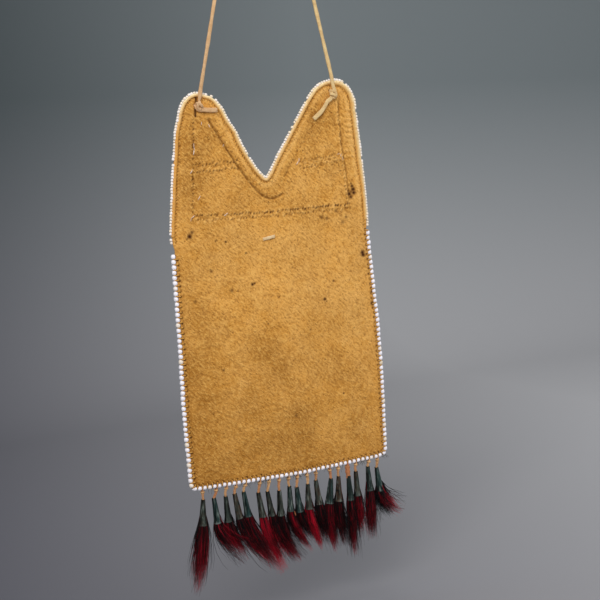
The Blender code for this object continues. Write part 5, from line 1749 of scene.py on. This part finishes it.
class POUCH_OT_hair(bpy.types.Operator):
    """Grow the dyed hair tufts out of the cones"""

    bl_idname = "pouch.hair"
    bl_label = "Hair tufts"

    def execute(self, context):
        look = context.scene.pouch_tinklers
        mat = dyed_hair(look)
        tree = hair_tree()
        for tag, number, row, pivot in tinklers():
            fall = lean_axis(row.fall)
            axis = lean_axis(row.lean)
            tip = pivot + Vector((row.aside, 0, -row.drop)) * MM
            opening = tip + axis * CONE_L * MM
            root = tip + axis * (THONG_IN_CONE + 1.5) * MM
            end = opening + fall * row.long * MM
            bend = opening + axis * row.long * 0.33 * MM
            guide = [root, (root + opening) / 2, opening]
            for t in (0.17, 0.36, 0.58, 0.8, 1.03):
                guide.append(opening * (1 - t) ** 2 + bend * (2 * t * (1 - t)) + end * t**2)
            curve = bpy.data.curves.new("hair_guide", "CURVE")
            curve.dimensions = "3D"
            spline = curve.splines.new("POLY")
            spline.points.add(len(guide) - 1)
            for point, place in zip(spline.points, guide):
                point.co = (*place, 1.0)
            obj = bpy.data.objects.new("hair_guide", curve)
            context.scene.collection.objects.link(obj)
            with_tree(obj, tree, {
                "Finish": mat, "Hairs": look.hairs,
                "Root": (row.mouth - 0.55) * MM, "Flare": row.flare * MM,
                "Thickness": look.hair * 1.0, "Wave": 0.0022,
                "Across": (-fall.z, 0.0, fall.x), "Red": row.red, "Red Side": row.red_side, "Seed": number * 7,
            })
            made = take(obj, "hairs_" + tag, mat)
            made.data.shade_smooth()
            finish_piece(made, "tinkler_" + tag, ("hair_tuft_" + tag,))
        return {"FINISHED"}


class POUCH_OT_fuzz(bpy.types.Operator):
    """Leave stray hairs of the hide under the pocket's bead edge"""

    bl_idname = "pouch.fuzz"
    bl_label = "Stray hairs"

    def execute(self, context):
        rng = random.Random(77)
        seam, run, _, _ = seam_stations()
        spots = []
        for low, high, count in FUZZ:
            for _ in range(count):
                off = np.abs(seam[:, 0] - rng.uniform(low, high)) + 3 * np.clip(seam[:, 1] - 8, 0, None)
                x, z, d, n = on_seam(seam, run, float(run[np.argmin(off)]))
                way = n * rng.uniform(0.8, 1.2) + d * rng.uniform(-0.7, 0.7)
                way += Vector((0, rng.uniform(-0.5, 0.4), 0))
                root = at(x - n.x, rng.uniform(-0.6, 0.6), z - n.z)
                spots.append((root, way.normalized(), (0, 1, 0), rng.uniform(0.6, 1.25), 0.0))
        path = [Vector(p) * MM for p in ((0, 0, 0), (0.1, 0, 1.8), (0.5, 0, 3.6), (1.3, 0, 5.4))]
        thin = [0.22 * MM, 0.2 * MM, 0.15 * MM, 0.06 * MM]
        item = sweep("stray_hair_item", path, thin, thin, None, sides=3, square=1.0)
        mat = two_tone("stray_hair", 0.7, 500.0, "2c2a14", "5a4a22")
        made = repeat("stray_hairs", spots, item, mat, 0.3, 0.2, 6)
        finish_piece(made, "pouch")
        return {"FINISHED"}


class POUCH_OT_ends(bpy.types.Operator):
    """Lay the short pale ends of thread that show beside the needle's pits"""

    bl_idname = "pouch.ends"
    bl_label = "Thread ends"

    def execute(self, context):
        hide = bpy.data.objects["back_hide"].data
        tree = BVHTree.FromPolygons([v.co for v in hide.vertices], [p.vertices for p in hide.polygons])
        spots = []
        for x, z, slope in THREAD_ENDS:
            start = at(x, -20.0, z)
            hit, normal, _, _ = tree.ray_cast(start, Vector((0, 1, 0)))
            if hit is None:
                raise RuntimeError("a thread end lies off the hide")
            slope = math.radians(slope)
            spots.append((hit, (math.cos(slope), 0, math.sin(slope)), (0, -1, 0), 1.0, 0.0))
        path = [Vector(p) * MM for p in ((0, 0, -1.5), (0.25, 0, -0.6), (0.25, 0, 0.5), (0, 0, 1.5))]
        wide = [0.35 * MM, 0.55 * MM, 0.55 * MM, 0.3 * MM]
        item = sweep("thread_end_item", path, wide, wide, None, sides=5, square=1.0)
        mat = two_tone("pale_thread", 0.8, 900.0, "f0dccb", "d8b492")
        finish_piece(repeat("thread_ends", spots, item, mat, 0.2, 0.25, 9), "pouch")
        return {"FINISHED"}


# The studio


class POUCH_OT_stage(bpy.types.Operator):
    """Set the camera, the pale sweep behind the pouch with its painted shade, and the soft lights"""

    bl_idname = "pouch.stage"
    bl_label = "Studio"

    def execute(self, context):
        stage = context.scene.pouch_stage
        scene = context.scene
        scene.view_settings.view_transform = "Standard"
        cam = bpy.data.cameras.new("camera")
        cam.sensor_width = 36.0
        cam.lens = 18.0 / math.tan(stage.focal / 2)
        cam.clip_start = 0.05
        eye = bpy.data.objects.new("camera", cam)
        scene.collection.objects.link(eye)
        yaw, pitch, roll = (math.radians(angle) for angle in CAMERA_TURN)
        ahead = Vector((math.sin(yaw) * math.cos(pitch), math.cos(yaw) * math.cos(pitch), -math.sin(pitch)))
        right = Vector((math.cos(yaw), -math.sin(yaw), 0))
        up = right.cross(ahead)
        c, s = math.cos(roll), math.sin(roll)
        right, up = right * c + up * s, up * c - right * s
        turn = Matrix((right, up, -ahead)).transposed()
        eye.matrix_world = Matrix.Translation(CAMERA_AT) @ turn.to_4x4()
        scene.camera = eye

        low = LOW.z - FLOOR_UNDER
        line = [(FLOOR_FRONT, low), (BEND_FROM, low)]
        for k in range(1, 13):
            a = math.pi / 2 * k / 12
            line.append((BEND_FROM + BEND_R * math.sin(a), low + BEND_R - BEND_R * math.cos(a)))
        line.append((BEND_FROM + BEND_R, low + WALL_HIGH))
        verts = []
        for y, z in line:
            verts += [(-HALF_WIDE, y, z), (HALF_WIDE, y, z)]
        faces = [(2 * i, 2 * i + 1, 2 * i + 3, 2 * i + 2) for i in range(len(line) - 1)]
        f = Finish("studio_sweep", 0.95)
        # Painted shade: darker to the left, and darker on the backdrop than on the floor
        across = f.ramp(f.axis("X"), *LIGHTENS)
        wall = f.mix(across, stage.wall_left, stage.wall)
        ground = f.mix(across, stage.floor_left, stage.floor)
        mat = f.done(f.mix(f.ramp(f.axis("Z"), low, low + BEND_R), ground, wall), Specular_IOR_Level=0.1)
        mesh_object("studio_sweep", verts, faces, mat)

        self.lamp("key", (-0.75, -1.15, 0.55), (0.0, 0.0, -0.25), 1.1, stage.key, KEY_TINT)
        self.lamp("fill", (1.15, -0.9, 0.1), (0.0, 0.0, -0.25), 1.2, stage.fill, FILL_TINT)
        self.lamp("top", (0.15, 0.0, 1.1), (0.0, 0.05, -0.4), 0.7, TOP_POWER, TOP_TINT)
        world = bpy.data.worlds.new("room")
        world.use_nodes = True
        light = world.node_tree.nodes["Background"].inputs
        light["Color"].default_value = ROOM_TINT
        light["Strength"].default_value = stage.sky
        scene.world = world
        return {"FINISHED"}

    def lamp(self, name, place, aim, size, power, tint):
        light = bpy.data.lights.new(name, "AREA")
        light.shape = "DISK"
        light.size = size
        light.energy = power
        light.color = tint
        obj = bpy.data.objects.new(name, light)
        bpy.context.scene.collection.objects.link(obj)
        place = Vector(place)
        obj.location = place
        obj.rotation_euler = (Vector(aim) - place).to_track_quat("-Z", "Y").to_euler()


GROUPS = {
    "pouch_stage": PouchStage,
    "pouch_hide": PouchHide,
    "pouch_beads": PouchBeads,
    "pouch_strap": PouchStrap,
    "pouch_tinklers": PouchTinklers,
    "pouch_quills": PouchQuills,
}
STEPS = (
    POUCH_OT_stage,
    POUCH_OT_strap,
    POUCH_OT_back,
    POUCH_OT_front,
    POUCH_OT_binding,
    POUCH_OT_beads,
    POUCH_OT_closure,
    POUCH_OT_quills,
    POUCH_OT_cones,
    POUCH_OT_thongs,
    POUCH_OT_hair,
    POUCH_OT_fuzz,
    POUCH_OT_ends,
)


class POUCH_PT_panel(bpy.types.Panel):
    """Sizes, colours and steps of the pouch"""

    bl_idname = "POUCH_PT_panel"
    bl_label = "Quilled pouch"
    bl_space_type = "VIEW_3D"
    bl_region_type = "UI"
    bl_category = "Pouch"

    def draw(self, context):
        for key, group in GROUPS.items():
            column = self.layout.column(align=True)
            column.label(text=group.__name__.replace("Pouch", ""))
            for name in group.__annotations__:
                column.prop(getattr(context.scene, key), name)
        for step in STEPS:
            self.layout.operator(step.bl_idname)


def register():
    for cls in (*GROUPS.values(), *STEPS, POUCH_PT_panel):
        bpy.utils.register_class(cls)
    for key, group in GROUPS.items():
        setattr(bpy.types.Scene, key, PointerProperty(type=group))


def unregister():
    for key in GROUPS:
        delattr(bpy.types.Scene, key)
    for cls in reversed((*GROUPS.values(), *STEPS, POUCH_PT_panel)):
        bpy.utils.unregister_class(cls)


def main():
    register()
    for step in STEPS:
        group, name = step.bl_idname.split(".")
        getattr(getattr(bpy.ops, group), name)()


if __name__ == "__main__":
    main()
